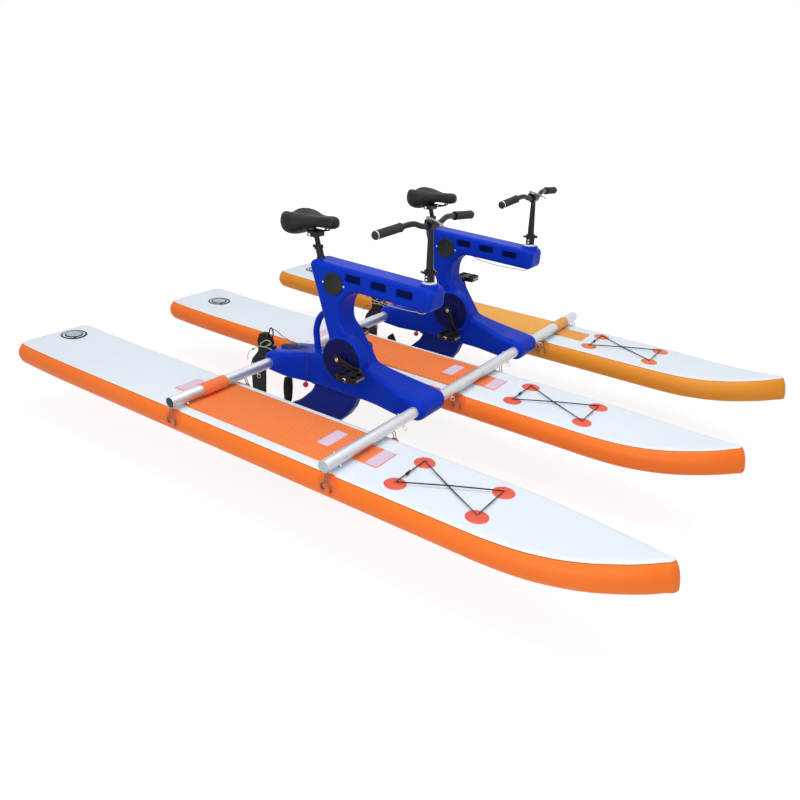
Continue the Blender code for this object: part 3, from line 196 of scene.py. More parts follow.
def add_node(tree: bpy.types.NodeTree, kind: str, inputs: dict | None = None, **settings) -> bpy.types.Node:
    """Adds a shader node with its settings and links.

    Args:
        tree: the material's node tree.
        kind: the node's type.
        inputs: socket names or numbers, each with a value or with the socket that feeds it.
        settings: the node's own properties.

    Returns:
        The new node.
    """
    node = tree.nodes.new(kind)
    for name, value in settings.items():
        setattr(node, name, value)
    for name, value in (inputs or {}).items():
        if isinstance(value, bpy.types.NodeSocket):
            tree.links.new(value, node.inputs[name])
        else:
            node.inputs[name].default_value = value
    return node


@dataclass
class Surface:
    """The nodes of one material: its tree, its shader, where its patterns are read and its relief so far."""

    tree: bpy.types.NodeTree
    shader: bpy.types.Node
    place: Socket
    normal: Socket | None = None

    def add(self, kind: str, inputs: dict, **settings) -> bpy.types.Node:
        """Adds a node to the material."""
        return add_node(self.tree, kind, inputs, **settings)

    def feed(self, name: str, source: Socket) -> None:
        """Links a socket to one of the shader's inputs."""
        self.tree.links.new(source, self.shader.inputs[name])

    def noise(self, scale: float, detail: float, distortion: float = 0.0) -> Socket:
        """A soft random pattern, with so many patches to the metre."""
        inputs = {"Vector": self.place, "Scale": scale, "Detail": detail, "Distortion": distortion}
        return self.add("ShaderNodeTexNoise", inputs).outputs["Fac"]

    def weave(self, spacing: float, operation: str, distortion: float = 0.0) -> Socket:
        """Threads that cross each other.

        Args:
            spacing: from thread to thread.
            operation: how the two directions are put together.
            distortion: how uneven the threads are.

        Returns:
            The pattern's height.
        """
        waves = {}
        for i, direction in enumerate("XY"):
            inputs = {"Vector": self.place, "Scale": WAVE_LENGTH / spacing, "Distortion": distortion}
            waves[i] = self.add("ShaderNodeTexWave", inputs, bands_direction=direction).outputs["Fac"]
        return self.add("ShaderNodeMath", waves, operation=operation).outputs[0]

    def blend(self, pattern: Socket, colour: str, shade: str) -> None:
        """Colours the surface between two colours by a pattern."""
        inputs = {0: pattern, 6: linear(colour), 7: linear(shade)}
        self.feed("Base Color", self.add("ShaderNodeMix", inputs, data_type="RGBA").outputs[2])

    def raised(self, pattern: Socket, depth: float, invert: bool = False) -> None:
        """Adds a pattern to the relief, on top of what the surface has already.

        Args:
            pattern: the height.
            depth: how deep it is where the pattern goes from zero to one.
            invert: whether high values lie low.
        """
        inputs = {"Height": pattern, "Distance": depth}
        if self.normal is not None:
            inputs["Normal"] = self.normal
        self.normal = self.add("ShaderNodeBump", inputs, invert=invert).outputs[0]
        self.feed("Normal", self.normal)

    def worn(self, pattern: Socket, low: float, high: float, span: Sequence[float] = (0.0, 1.0)) -> None:
        """Lets the roughness follow a pattern from a low value to a high one, over a span of the pattern."""
        inputs = {"Value": pattern, "From Min": span[0], "From Max": span[1], "To Min": low, "To Max": high}
        self.feed("Roughness", self.add("ShaderNodeMapRange", inputs).outputs[0])


@dataclass(frozen=True)
class Finish:
    """A surface: what it is, its colour, its second colour, how rough it is and how much it mirrors."""

    name: str
    colour: str
    shade: str
    roughness: float
    metallic: float = 0.0
    gloss: float = 0.25

    def material(self) -> bpy.types.Material:
        """Makes the material on first use and gives it back."""
        found = bpy.data.materials.get(self.name)
        if found:
            return found
        made = bpy.data.materials.new(self.name)
        made.use_nodes = True
        shader = made.node_tree.nodes["Principled BSDF"]
        shader.inputs["Metallic"].default_value = self.metallic
        shader.inputs["Roughness"].default_value = self.roughness
        shader.inputs["Specular IOR Level"].default_value = 0.5 if self.metallic else self.gloss
        place = add_node(made.node_tree, "ShaderNodeTexCoord").outputs["Object"]
        self.dress(Surface(made.node_tree, shader, place))
        return made

    def mottle(self, surface: Surface, patch: float) -> None:
        """Lets the colour drift between the two colours in patches, as no real surface is even."""
        surface.blend(surface.noise(1 / patch, 3.0), self.colour, self.shade)

    def dress(self, surface: Surface) -> None:
        """Adds the detail that the real surface shows."""
        raise NotImplementedError


@dataclass(frozen=True)
class CoatedFabric(Finish):
    """PVC-coated drop-stitch cloth: a soft shine over a faint weave, with shallow dents from the threads."""

    thread: float = 3.0 * MILLIMETRE
    thread_depth: float = 0.06 * MILLIMETRE
    dent: float = 1.2 * MILLIMETRE

    def dress(self, surface: Surface) -> None:
        """Adds drifting colour, broad dents and the weave, whose 0.5 mm threads are drawn 3 mm apart."""
        self.mottle(surface, 0.45)
        dents = surface.noise(9.0, 1.0)
        surface.raised(dents, self.dent)
        surface.raised(surface.weave(self.thread, "ADD"), self.thread_depth)
        surface.worn(dents, self.roughness - 0.08, self.roughness + 0.1)


@dataclass(frozen=True)
class GroovedFoam(Finish):
    """EVA deck foam, milled with a brick pattern of grooves: matt, a little darker in the grooves."""

    brick: float = 15.0 * MILLIMETRE
    groove: float = 2.2 * MILLIMETRE
    groove_depth: float = 0.9 * MILLIMETRE
    pore_depth: float = 0.1 * MILLIMETRE

    def dress(self, surface: Surface) -> None:
        """Adds the grooves, as a darker colour and as depth, and the foam's fine pores."""
        pattern = {
            "Vector": surface.place,
            "Scale": 1.0,
            "Mortar Size": self.groove / 2,
            "Mortar Smooth": 0.6,
            "Brick Width": self.brick,
            "Row Height": self.brick,
            "Color1": linear(self.colour),
            "Color2": linear(self.colour),
            "Mortar": linear(self.shade),
        }
        bricks = surface.add("ShaderNodeTexBrick", pattern, offset=0.5).outputs
        surface.feed("Base Color", bricks["Color"])
        surface.raised(surface.noise(700.0, 1.0), self.pore_depth)
        surface.raised(bricks["Fac"], self.groove_depth, invert=True)


@dataclass(frozen=True)
class MouldedPlastic(Finish):
    """Moulded plastic or a paint film: even colour, a slight orange peel and faint scuffs in the shine."""

    peel: float = 9.0 * MILLIMETRE
    peel_depth: float = 0.12 * MILLIMETRE
    scuffs: float = 0.1

    def dress(self, surface: Surface) -> None:
        """Adds drifting colour, orange peel and a shine that changes in streaks."""
        self.mottle(surface, 0.12)
        surface.raised(surface.noise(1 / self.peel, 2.0), self.peel_depth)
        streaks = surface.noise(22.0, 4.0, 1.5)
        surface.worn(streaks, self.roughness, self.roughness + self.scuffs, (0.35, 0.75))


@dataclass(frozen=True)
class DrawnMetal(Finish):
    """Drawn tube or wire with a satin finish: fine lines along the tube and a blurred reflection."""

    stretch: tuple[float, float, float] = (220.0, 6.0, 220.0)
    line_depth: float = 0.03 * MILLIMETRE

    def dress(self, surface: Surface) -> None:
        """Adds the drawing lines, which are 0.2 mm apart and drawn about 4 mm apart so that they show."""
        stretched = {"Vector": surface.place, "Scale": self.stretch}
        surface.place = surface.add("ShaderNodeMapping", stretched).outputs[0]
        drawn = surface.noise(1.0, 3.0)
        surface.blend(drawn, self.colour, self.shade)
        surface.raised(drawn, self.line_depth)


@dataclass(frozen=True)
class GrainedSkin(Finish):
    """Vinyl or rubber with a pebbled grain: matt, with small raised cells."""

    cell: float = 2.0 * MILLIMETRE
    cell_depth: float = 0.25 * MILLIMETRE

    def dress(self, surface: Surface) -> None:
        """Adds the pebbles, whose real cells of 1 mm are drawn twice that size."""
        self.mottle(surface, 0.05)
        cells = surface.add("ShaderNodeTexVoronoi", {"Vector": surface.place, "Scale": 1 / self.cell})
        surface.raised(cells.outputs["Distance"], self.cell_depth, invert=True)


@dataclass(frozen=True)
class Webbing(Finish):
    """Woven webbing or hook tape: matt ribs across the band with a fuzzy edge to the light."""

    rib: float = 3.5 * MILLIMETRE
    rib_depth: float = 0.35 * MILLIMETRE
    fuzz: float = 0.25

    def dress(self, surface: Surface) -> None:
        """Adds the ribs and threads, drawn twice as coarse as they are so that they show."""
        surface.shader.inputs["Sheen Weight"].default_value = self.fuzz
        self.mottle(surface, 0.03)
        surface.raised(surface.weave(self.rib, "MULTIPLY", 0.6), self.rib_depth)


class Look:
    """Every finish of the boat, named for its material and how its surface was made; the seam shadow, leg
    blue and slot floors are painted shade.
    """

    RAIL_ORANGE = CoatedFabric("orange_pvc_rail_calendered", "FF7F2A", "FA7622", 0.42)
    RAIL_AMBER = CoatedFabric("amber_pvc_rail_calendered", "EE9A30", "E48F26", 0.42)
    DECK_WHITE = CoatedFabric("white_pvc_deck_calendered", "E6EEF6", "DEE7F1", 0.5)
    SEAM_TAPE = CoatedFabric("pale_pvc_seam_tape_welded", "FBEDE4", "F5E4DA", 0.5)
    # Painted shadow: a brown band that stands for the shade line along the deck seam, under the tape.
    SEAM_GLUE = CoatedFabric("brown_glue_line_brushed", "8E4224", "7E381C", 0.6)
    PAD_ORANGE = GroovedFoam("orange_eva_pad_milled", "FB8848", "DE6A34", 0.8)
    PAD_AMBER = GroovedFoam("amber_eva_pad_milled", "FFBC62", "E69A3E", 0.8)
    PATCH_ORANGE = CoatedFabric("orange_pvc_patch_glued", "F8743A", "F06C32", 0.45)
    PATCH_AMBER = CoatedFabric("amber_pvc_patch_glued", "E59038", "DA8630", 0.45)
    DISC_CORAL = CoatedFabric("coral_pvc_disc_glued", "EC6450", "E25A47", 0.5)
    DISC_TAN = CoatedFabric("tan_pvc_disc_glued", "E8804E", "DE7645", 0.5)
    STRAP_ORANGE = Webbing("orange_webbing_woven", "FA7F42", "F07538", 0.75)
    STRAP_AMBER = Webbing("amber_webbing_woven", "EEA448", "E4983C", 0.75)
    HOOK_LILAC = Webbing("lilac_hook_tape_woven", "E8CDE4", "DCC0DA", 0.85, rib=2.0 * MILLIMETRE)
    FRAME_BLUE = MouldedPlastic("blue_polyethylene_rotomoulded", "0A38C4", "0830B8", 0.3, gloss=0.06)
    # Painted shade: the frame's blue polyethylene made darker for the legs, which sit in shade under the
    # boat.
    LEG_BLUE = MouldedPlastic("dark_blue_polyethylene_rotomoulded", "0A2896", "082288", 0.32, gloss=0.1)
    # Painted shade: a dark navy that stands for the shade deep in the boom's slots.
    POCKET_BLUE = MouldedPlastic("navy_polyethylene_moulded", "051454", "041044", 0.5, gloss=0.06)
    COVER_NAVY = MouldedPlastic(
        "navy_abs_cover_moulded", "06145C", "05104E", 0.42, gloss=0.12, peel=3 * MILLIMETRE
    )
    BLACK_ABS = MouldedPlastic("black_abs_moulded", "121315", "0C0D0F", 0.42, peel=4 * MILLIMETRE)
    VALVE_GREY = MouldedPlastic("grey_nylon_valve_moulded", "C3CBD0", "B4BCC2", 0.45, peel=3 * MILLIMETRE)
    HATCH_GREEN = MouldedPlastic("dark_abs_hatch_moulded", "16201F", "101817", 0.45, peel=4 * MILLIMETRE)
    BLACK_PAINT = MouldedPlastic("black_enamel_sprayed", "131416", "0D0E10", 0.26, peel=3 * MILLIMETRE)
    GREY_CAST = MouldedPlastic("grey_aluminium_die_cast", "9CA097", "8A8E85", 0.38, 0.6, peel=4 * MILLIMETRE)
    WHITE_NYLON = MouldedPlastic("white_nylon_turned", "E4E8EA", "D6DADD", 0.4, peel=4 * MILLIMETRE)
    BARE_ALUMINIUM = DrawnMetal("aluminium_tube_drawn", "DDE0E4", "C8CCD1", 0.46, 1.0)
    STEEL_WIRE = DrawnMetal("steel_wire_polished", "D6D6D4", "C4C4C2", 0.24, 1.0)
    STEEL_RING = DrawnMetal("steel_ring_rolled", "8A7468", "6E5A50", 0.36, 1.0)
    GRIP_RUBBER = GrainedSkin("grey_rubber_moulded", "333436", "2A2B2D", 0.72, cell=1.5 * MILLIMETRE)
    SADDLE_VINYL = GrainedSkin("black_vinyl_embossed", "17191B", "101214", 0.5)
    CORD_BLACK = Webbing("black_elastic_cord_braided", "15171B", "0F1114", 0.7, rib=1.2 * MILLIMETRE)
    CORD_SLATE = Webbing("slate_cord_braided", "2A323E", "222934", 0.7, rib=1.2 * MILLIMETRE)
    ROPE_PALE = Webbing("pale_rope_laid", "D5D0C0", "B7B1A2", 0.8, rib=1.5 * MILLIMETRE)
    BALL_RED = MouldedPlastic("red_abs_ball_moulded", "C8242C", "B81E26", 0.25, peel=5 * MILLIMETRE)


# Shapes


def facing(origin: Sequence[float], axis: Sequence[float]) -> Matrix:
    """A matrix at the origin given, whose Z runs along the axis given."""
    return Matrix.Translation(origin) @ Vector(axis).to_track_quat("Z", "X").to_matrix().to_4x4()


def arc_points(middle: Sequence[float], radius: float, start: float, end: float, steps: int) -> list[Vector]:
    """Points on a circle in a plane.

    Args:
        middle: the circle's middle.
        radius: its radius.
        start: the first point's angle in degrees.
        end: the last point's angle in degrees.
        steps: how many steps lead from one to the other.
    """
    points = []
    for i in range(steps + 1):
        turn = math.radians(start + (end - start) * i / steps)
        points.append(Vector((middle[0] + radius * math.cos(turn), middle[1] + radius * math.sin(turn))))
    return points


def rounded_rectangle(low: Sequence[float], high: Sequence[float], radius: float) -> list[Vector]:
    """The outline of a rectangle in a plane with round corners."""
    corners = ((high[0], high[1], 0), (low[0], high[1], 90), (low[0], low[1], 180), (high[0], low[1], 270))
    points = []
    for x, y, start in corners:
        middle_x = x - math.copysign(radius, x - low[0] - radius)
        middle_y = y - math.copysign(radius, y - low[1] - radius)
        points.extend(arc_points((middle_x, middle_y), radius, start, start + 90, 6))
    return points


def rounded_outline(corners: Sequence[tuple[float, float, float]]) -> list[Vector]:
    """The outline through corners, each rounded with its own radius.

    Args:
        corners: (x, y, radius) in order round the outline.

    Returns:
        The outline's points.
    """
    points = []
    for i, (x, y, radius) in enumerate(corners):
        corner = Vector((x, y))
        back = (Vector(corners[i - 1][:2]) - corner).normalized()
        ahead = (Vector(corners[(i + 1) % len(corners)][:2]) - corner).normalized()
        half = back.angle(ahead) / 2
        middle = corner + (back + ahead).normalized() * radius / math.sin(half)
        first = corner + back * radius / math.tan(half) - middle
        sweep = (math.pi - 2 * half) * (1 if back.cross(ahead) < 0 else -1)
        steps = max(2, round(abs(math.degrees(sweep)) / 9))
        for k in range(steps + 1):
            points.append(middle + Matrix.Rotation(sweep * k / steps, 2) @ first)
    return points


def smooth_route(points: Sequence[Vector], steps: int) -> list[Vector]:
    """Points close together on the smooth curve through the points given.

    Args:
        points: the curve's own points.
        steps: how many points lie between two of them.
    """
    route = []
    for i, (start, end) in enumerate(zip(points, points[1:])):
        before = points[max(i - 1, 0)]
        after = points[min(i + 2, len(points) - 1)]
        for k in range(steps):
            t = k / steps
            bend = 2 * before - 5 * start + 4 * end - after
            swing = 3 * start - 3 * end + after - before
            route.append((2 * start + t * (end - before) + t**2 * bend + t**3 * swing) / 2)
    return [*route, points[-1]]


def linked(name: str, data: bpy.types.ID) -> bpy.types.Object:
    """Makes an object of the data given and puts it into the scene."""
    made = bpy.data.objects.new(name, data)
    bpy.context.scene.collection.objects.link(made)
    return made


def round_curve(name: str, radius: float) -> bpy.types.Curve:
    """A curve with a round section and closed ends, still without a route."""
    curve = bpy.data.curves.new(name, "CURVE")
    curve.dimensions = "3D"
    curve.bevel_depth = radius
    curve.bevel_resolution = 3
    curve.use_fill_caps = True
    return curve


def lofted(sections: Sequence[Points]) -> bmesh.types.BMesh:
    """Bridges closed sections, each with as many points as the others, and closes both ends."""
    mesh = bmesh.new()
    rings = []
    for section in sections:
        verts = [mesh.verts.new(point) for point in section]
        rings.append([mesh.edges.new(pair) for pair in zip(verts, [*verts[1:], verts[0]])])
    for ring, following in zip(rings, rings[1:]):
        bmesh.ops.bridge_loops(mesh, edges=[*ring, *following])
    for ring in (rings[0], rings[-1]):
        bmesh.ops.contextual_create(mesh, geom=ring)
    return mesh


def slice_faces(
    mesh: bmesh.types.BMesh,
    faces: Sequence[bmesh.types.BMFace],
    spot: Sequence[float],
    normal: Sequence[float],
    dist: float = 10 * WELD,
) -> None:
    """Divides faces along a plane, so that they can bend there.

    Args:
        mesh: the mesh that the faces belong to.
        faces: the faces to divide.
        spot: a point of the plane.
        normal: the plane's normal.
        dist: points as near the plane as this count as on it.
    """
    edges = {edge for face in faces for edge in face.edges}
    verts = {vert for face in faces for vert in face.verts}
    geometry = [*verts, *edges, *faces]
    bmesh.ops.bisect_plane(mesh, geom=geometry, plane_co=spot, plane_no=normal, dist=dist)


class Workpiece:
    """A piece under construction: shapes made by bmesh operators, joined with their finishes."""

    def __init__(self, name: str) -> None:
        """Starts an empty piece with the name given."""
        self.name = name
        self.mesh = bmesh.new()
        self.finishes: list[Finish] = []

    def join(self, part: bmesh.types.BMesh, finish: Finish | Sequence[Finish], matrix: Matrix) -> None:
        """Moves a finished shape into the piece.

        Args:
            part: the shape, which is freed.
            finish: its finish, or the finishes that its faces' numbers stand for.
            matrix: where the shape goes.
        """
        part.transform(matrix)
        bmesh.ops.remove_doubles(part, verts=part.verts, dist=WELD)
        bmesh.ops.recalc_face_normals(part, faces=part.faces)
        kinds = [finish] if isinstance(finish, Finish) else list(finish)
        self.finishes.extend(kind for kind in kinds if kind not in self.finishes)
        for face in part.faces:
            kind = kinds[min(face.material_index, len(kinds) - 1)]
            face.material_index = self.finishes.index(kind)
        carried = bpy.data.meshes.new("carried")
        part.to_mesh(carried)
        part.free()
        self.mesh.from_mesh(carried)
        bpy.data.meshes.remove(carried)

    def turn(
        self, profile: Points, finish: Finish, matrix: Matrix, steps: int = 48, ring: bool = False
    ) -> None:
        """Spins a profile about the Z axis of a matrix.

        Args:
            profile: points as (radius, height); a solid's start and end on the axis.
            finish: the shape's finish.
            matrix: where the axis goes.
            steps: how many faces go round.
            ring: whether the profile closes on itself, as for a tube.
        """
        part = bmesh.new()
        verts = [part.verts.new((radius, 0.0, height)) for radius, height in profile]
        edges = [part.edges.new(pair) for pair in zip(verts, verts[1:])]
        if ring:
            edges.append(part.edges.new((verts[-1], verts[0])))
        about = {"cent": (0, 0, 0), "axis": (0, 0, 1), "dvec": (0, 0, 0), "angle": math.tau}
        bmesh.ops.spin(part, geom=[*verts, *edges], steps=steps, use_merge=True, **about)
        self.join(part, finish, matrix)

    def tube(
        self,
        points: Points,
        radius: float,
        finish: Finish,
        matrix: Matrix,
        closed: bool = False,
        smooth: bool = True,
    ) -> None:
        """Sweeps a round section along a route.

        Args:
            points: the route's points.
            radius: the section's radius.
            finish: the shape's finish.
            matrix: where the shape goes.
            closed: whether the route is a loop.
            smooth: whether the route curves smoothly through its points.
        """
        curve = round_curve("route", radius)
        curve.resolution_u = 8
        spline = curve.splines.new("BEZIER")
        spline.bezier_points.add(len(points) - 1)
        spline.use_cyclic_u = closed
        for knot, point in zip(spline.bezier_points, points):
            knot.co = point
            knot.handle_left_type = knot.handle_right_type = "AUTO" if smooth else "VECTOR"
        holder = linked("route", curve)
        graph = bpy.context.evaluated_depsgraph_get()
        swept = bpy.data.meshes.new_from_object(holder.evaluated_get(graph))
        part = bmesh.new()
        part.from_mesh(swept)
        bpy.data.objects.remove(holder)
        bpy.data.curves.remove(curve)
        bpy.data.meshes.remove(swept)
        self.join(part, finish, matrix)

    def plate(
        self, outline: Points, low: float, high: float, finish: Finish, matrix: Matrix, edge: float
    ) -> None:
        """Extrudes an outline in the XY plane of a matrix and rounds its two rims.

        Args:
            outline: points as (x, y).
            low: where the plate starts along Z.
            high: where it ends.
            finish: the shape's finish.
            matrix: where the plane goes.
            edge: the radius of the rims.
        """
        part = bmesh.new()
        face = part.faces.new([part.verts.new((point[0], point[1], low)) for point in outline])
        grown = bmesh.ops.extrude_face_region(part, geom=[face])["geom"]
        top = [item for item in grown if isinstance(item, bmesh.types.BMVert)]
        bmesh.ops.translate(part, verts=top, vec=(0, 0, high - low))
        bmesh.ops.recalc_face_normals(part, faces=part.faces)
        if edge > 0:
            rims = [item for item in part.edges if abs(item.verts[0].co.z - item.verts[1].co.z) < 1e-7]
            shape = {"offset": edge, "segments": 3, "profile": 0.5, "material": -1}
            bmesh.ops.bevel(part, geom=rims, affect="EDGES", **shape)
        self.join(part, finish, matrix)

    def carve(self, cutter: "Workpiece") -> None:
        """Cuts another workpiece's shape out of this one.

        Args:
            cutter: the shape to cut, which is used up.
        """
        holders = []
        for source in (self, cutter):
            data = bpy.data.meshes.new("carving")
            source.mesh.to_mesh(data)
            source.mesh.free()
            holders.append(linked("carving", data))
        cut = holders[0].modifiers.new("cut", "BOOLEAN")
        cut.operation = "DIFFERENCE"
        cut.solver = "EXACT"
        cut.object = holders[1]
        graph = bpy.context.evaluated_depsgraph_get()
        carved = bpy.data.meshes.new_from_object(holders[0].evaluated_get(graph))
        self.mesh = bmesh.new()
        self.mesh.from_mesh(carved)
        for holder in holders:
            data = holder.data
            bpy.data.objects.remove(holder)
            bpy.data.meshes.remove(data)
        bpy.data.meshes.remove(carved)
        for face in self.mesh.faces:
            face.material_index = 0

    def ball(self, middle: Sequence[float], radius: float, finish: Finish, matrix: Matrix) -> None:
        """Adds a ball.

        Args:
            middle: the ball's middle.
            radius: its radius.
            finish: its finish.
            matrix: where the middle's own origin goes.
        """
        part = bmesh.new()
        bmesh.ops.create_uvsphere(part, u_segments=24, v_segments=14, radius=radius)
        part.transform(Matrix.Translation(middle))
        self.join(part, finish, matrix)

    def finished(
        self, body: str, replaced: Sequence[str] = (), slot: str | None = None, angle: float = 38
    ) -> bpy.types.Object:
        """Turns the piece into an object that rides on a body.

        Args:
            body: the body's name.
            replaced: the nodes that the piece stands for.
            slot: not used.
            angle: edges sharper than this, in degrees, stay crisp.

        Returns:
            The piece's object.
        """
        data = bpy.data.meshes.new(self.name)
        self.mesh.to_mesh(data)
        self.mesh.free()
        for finish in self.finishes:
            data.materials.append(finish.material())
        data.shade_smooth()
        data.set_sharp_from_angle(angle=math.radians(angle))
        piece = linked(self.name, data)
        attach(piece, body)
        if replaced:
            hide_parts(*replaced)
        LOG.info("%s on %s", self.name, body)
        return piece


def mould(piece: bpy.types.Object, voxel: float, passes: int) -> None:
    """Gives overlapping closed shapes one skin, as a moulding has, and softens its corners.

    Args:
        piece: the piece's object.
        voxel: the size of the skin's faces.
        passes: how often the skin is smoothed.
    """
    remesh = piece.modifiers.new("moulded", "REMESH")
    remesh.mode = "VOXEL"
    remesh.voxel_size = voxel
    remesh.use_smooth_shade = True
    smooth = piece.modifiers.new("soft", "SMOOTH")
    smooth.factor = 0.5
    smooth.iterations = passes


@dataclass
class CadCopy:
    """A dressed copy of a rigid CAD node, merged and with its edges eased."""

    frame: dict
    node: str
    finish: Finish
    edge: float = 0.6 * MILLIMETRE

    def workpiece(self) -> Workpiece:
        """Copies the node's triangles, merges them and joins coplanar ones again."""
        part = bmesh.new()
        part.from_mesh(self.frame["nodes"][self.node].data)
        bmesh.ops.remove_doubles(part, verts=part.verts, dist=2 * WELD)
        flat = math.radians(0.8)
        bmesh.ops.dissolve_limit(part, angle_limit=flat, verts=part.verts, edges=part.edges)
        piece = Workpiece(f"{self.node}_dressed")
        piece.join(part, self.finish, Matrix())
        return piece

    def eased(self, body: str, slot: str) -> bpy.types.Object:
        """Finishes the copy with small round edges.

        Args:
            body: the body that it rides on.
            slot: not used.

        Returns:
            The piece's object.
        """
        piece = self.workpiece().finished(body, [self.node], slot, angle=32)
        bevel = piece.modifiers.new("eased", "BEVEL")
        bevel.width = self.edge
        bevel.segments = 2
        bevel.limit_method = "ANGLE"
        bevel.angle_limit = math.radians(50)
        bevel.use_clamp_overlap = True
        return piece

    def remoulded(self, body: str, slot: str, voxel: float, passes: int) -> bpy.types.Object:
        """Finishes the copy as a moulding, whose shapes flow into each other with soft inner corners.

        Args:
            body: the body that it rides on.
            slot: not used.
            voxel: the size of the skin's faces.
            passes: how often the skin is smoothed.

        Returns:
            The piece's object.
        """
        piece = self.workpiece().finished(body, [self.node], slot, angle=180)
        mould(piece, voxel, passes)
        return piece


# Floats


@dataclass
class Float:
    """One drop-stitch float with its deck pad, ring patches and inflation valve."""

    place: Place
    thickness: float = 0.108
    half_width: float = 0.205
    stern_x: float = -1.5
    stern_corner: float = 0.07
    bow_start_x: float = 0.93
    bow_tip_x: float = 1.556
    bow_fullness: float = 0.75
    nose_radius: float = 0.034
    nose_bulge: float = 0.016
    rail_bulge: float = 0.05
    bow_rise_x: float = 1.08
    bow_rise: float = 0.066
    stern_rise_x: float = -1.1
    stern_rise: float = 0.01
    seam_angle: float = 68.0
    tape_degrees: float = 8.0
    # How wide, in degrees round the rail, the painted seam shadow below the tape is.
    glue_degrees: float = 3.2
    pad_rear_x: float = -0.4
    pad_front_x: float = 0.36
    pad_half_width: float = 0.14
    pad_thickness: float = 0.0055
    patch_radius: float = 0.042
    patch_angle: float = 18.0

    @property
    def amber(self) -> bool:
        """Whether this is the far float, which is yellower."""
        return self.place is Place.PORT

    @property
    def placed(self) -> Matrix:
        """Places what is drawn round the float's own middle line."""
        return Matrix.Translation((0, self.place.value, 0))

    @property
    def webbing(self) -> Finish:
        """The finish of its straps and of the tabs that hold the rings."""
        return Look.STRAP_AMBER if self.amber else Look.STRAP_ORANGE

    @property
    def valve_spot(self) -> tuple[float, float]:
        """Where the inflation valve is, along and to port."""
        return {"starboard": (-1.38, 0.045), "centre": (-1.28, 0.0), "port": (-1.33, 0.0)}[self.place.word]

    def rise(self, x: float) -> float:
        """How far the float has risen from its flat part at a station."""
        if x > self.bow_rise_x:
            return self.bow_rise * ((x - self.bow_rise_x) / (self.bow_tip_x - self.bow_rise_x)) ** 2
        if x < self.stern_rise_x:
            return self.stern_rise * ((self.stern_rise_x - x) / (self.stern_rise_x - self.stern_x)) ** 2
        return 0.0

    def half_outline(self) -> list[Vector]:
        """The port half of the plan outline, from the stern to just short of the stem."""
        corner = (self.stern_x + self.stern_corner, self.half_width - self.stern_corner)
        points = arc_points(corner, self.stern_corner, 180, 90, 8)
        straight = (-1.32, -1.21, self.stern_rise_x, -0.75, -0.25, 0.25, 0.65)
        points.extend(Vector((x, self.half_width)) for x in straight)
        stations = 26
        for i in range(stations):
            along = math.sin(math.pi / 2 * i / stations)
            x = self.bow_start_x + along * (self.bow_tip_x - self.bow_start_x)
            nose = self.nose_radius**2 - (x - self.bow_tip_x + self.nose_radius) ** 2
            width = self.half_width * (1 - along**2) ** self.bow_fullness
            round_nose = x > self.bow_tip_x - self.nose_radius and nose > width**2
            points.append(Vector((x, math.sqrt(nose) if round_nose else width)))
        return points

    def rail_ring(self, angle: float) -> list[Vector]:
        """The whole outline at one angle round the rail, before the bow and stern rise."""
        half = self.half_outline()
        turn = math.radians(angle)
        height = self.thickness / 2 * (1 + math.sin(turn))
        port = []
        for i, point in enumerate(half):
            before = half[i - 1] if i else point - Vector((0, 0.01))
            after = half[i + 1] if i + 1 < len(half) else Vector((self.bow_tip_x, 0.0))
            along = (after - before).normalized()
            bulge = self.nose_bulge + (self.rail_bulge - self.nose_bulge) * min(1.0, point.y / 0.11)
            tight = min(1.0, max(0.0, (point.x - 0.9) / 0.45)) if turn < 0 else 0.0
            inward = Vector((along.y, -along.x)) * bulge * (1 - 0.4 * tight) * (1 - math.cos(turn))
            port.append(Vector((point.x + inward.x, max(point.y + inward.y, 0.0), height)))
        tip_x = self.bow_tip_x - self.nose_bulge * (0.6 if turn < 0 else 1.0) * (1 - math.cos(turn))
        starboard = [Vector((point.x, -point.y, point.z)) for point in reversed(port)]
        return [*port, Vector((tip_x, 0.0, height)), *starboard]

    def shell(self) -> bmesh.types.BMesh:
        """The air-filled body: rings round the rail bridged together, deck and bottom filled and risen."""
        tape_low = self.seam_angle - self.tape_degrees
        bands = [self.seam_angle, tape_low, tape_low - self.glue_degrees]
        angles = [90, 79, *bands, 44, 30, 15, 0, -15, -30, -45, -58, -70, -90]
        mesh = lofted([self.rail_ring(angle) for angle in angles])
        for point in self.half_outline():
            flats = [face for face in mesh.faces if len(face.verts) > 4]
            slice_faces(mesh, flats, (point.x, 0, 0), (1, 0, 0))
        levels = [self.thickness / 2 * (1 + math.sin(math.radians(limit))) for limit in bands]
        for face in mesh.faces:
            height = face.calc_center_median().z
            face.material_index = sum(height < level for level in levels)
        for vert in mesh.verts:
            lean = (self.rise(vert.co.x + 0.001) - self.rise(vert.co.x - 0.001)) / 0.002
            height = vert.co.z - self.thickness / 2
            vert.co.z += self.rise(vert.co.x)
            vert.co.x -= height * lean
        return mesh

    def body(self) -> bpy.types.Object:
        """The float itself: white deck, pale seam tape, a painted brown seam shadow and coloured rail."""
        rail = Look.RAIL_AMBER if self.amber else Look.RAIL_ORANGE
        name = f"hull_{self.place.word}"
        piece = Workpiece(f"{name}_skin")
        # The third band is painted shadow along the seam.
        bands = [Look.DECK_WHITE, Look.SEAM_TAPE, Look.SEAM_GLUE, rail]
        piece.join(self.shell(), bands, self.placed)
        slot = "hull_amber" if self.amber else "hull_orange"
        hull = piece.finished("boat", [name], slot, angle=60)
        return hull

    def pad(self) -> None:
        """The milled foam pad between the bars."""
        finish = Look.PAD_AMBER if self.amber else Look.PAD_ORANGE
        piece = Workpiece(f"deck_pad_{self.place.word}")
        low = (self.pad_rear_x, -self.pad_half_width)
        high = (self.pad_front_x, self.pad_half_width)
        outline = rounded_rectangle(low, high, 0.012)
        sunk = 1.0 * MILLIMETRE
        matrix = Matrix.Translation((0, self.place.value, self.thickness - sunk))
        piece.plate(outline, 0.0, self.pad_thickness + sunk, finish, matrix, 0.0018)
        piece.finished("boat")

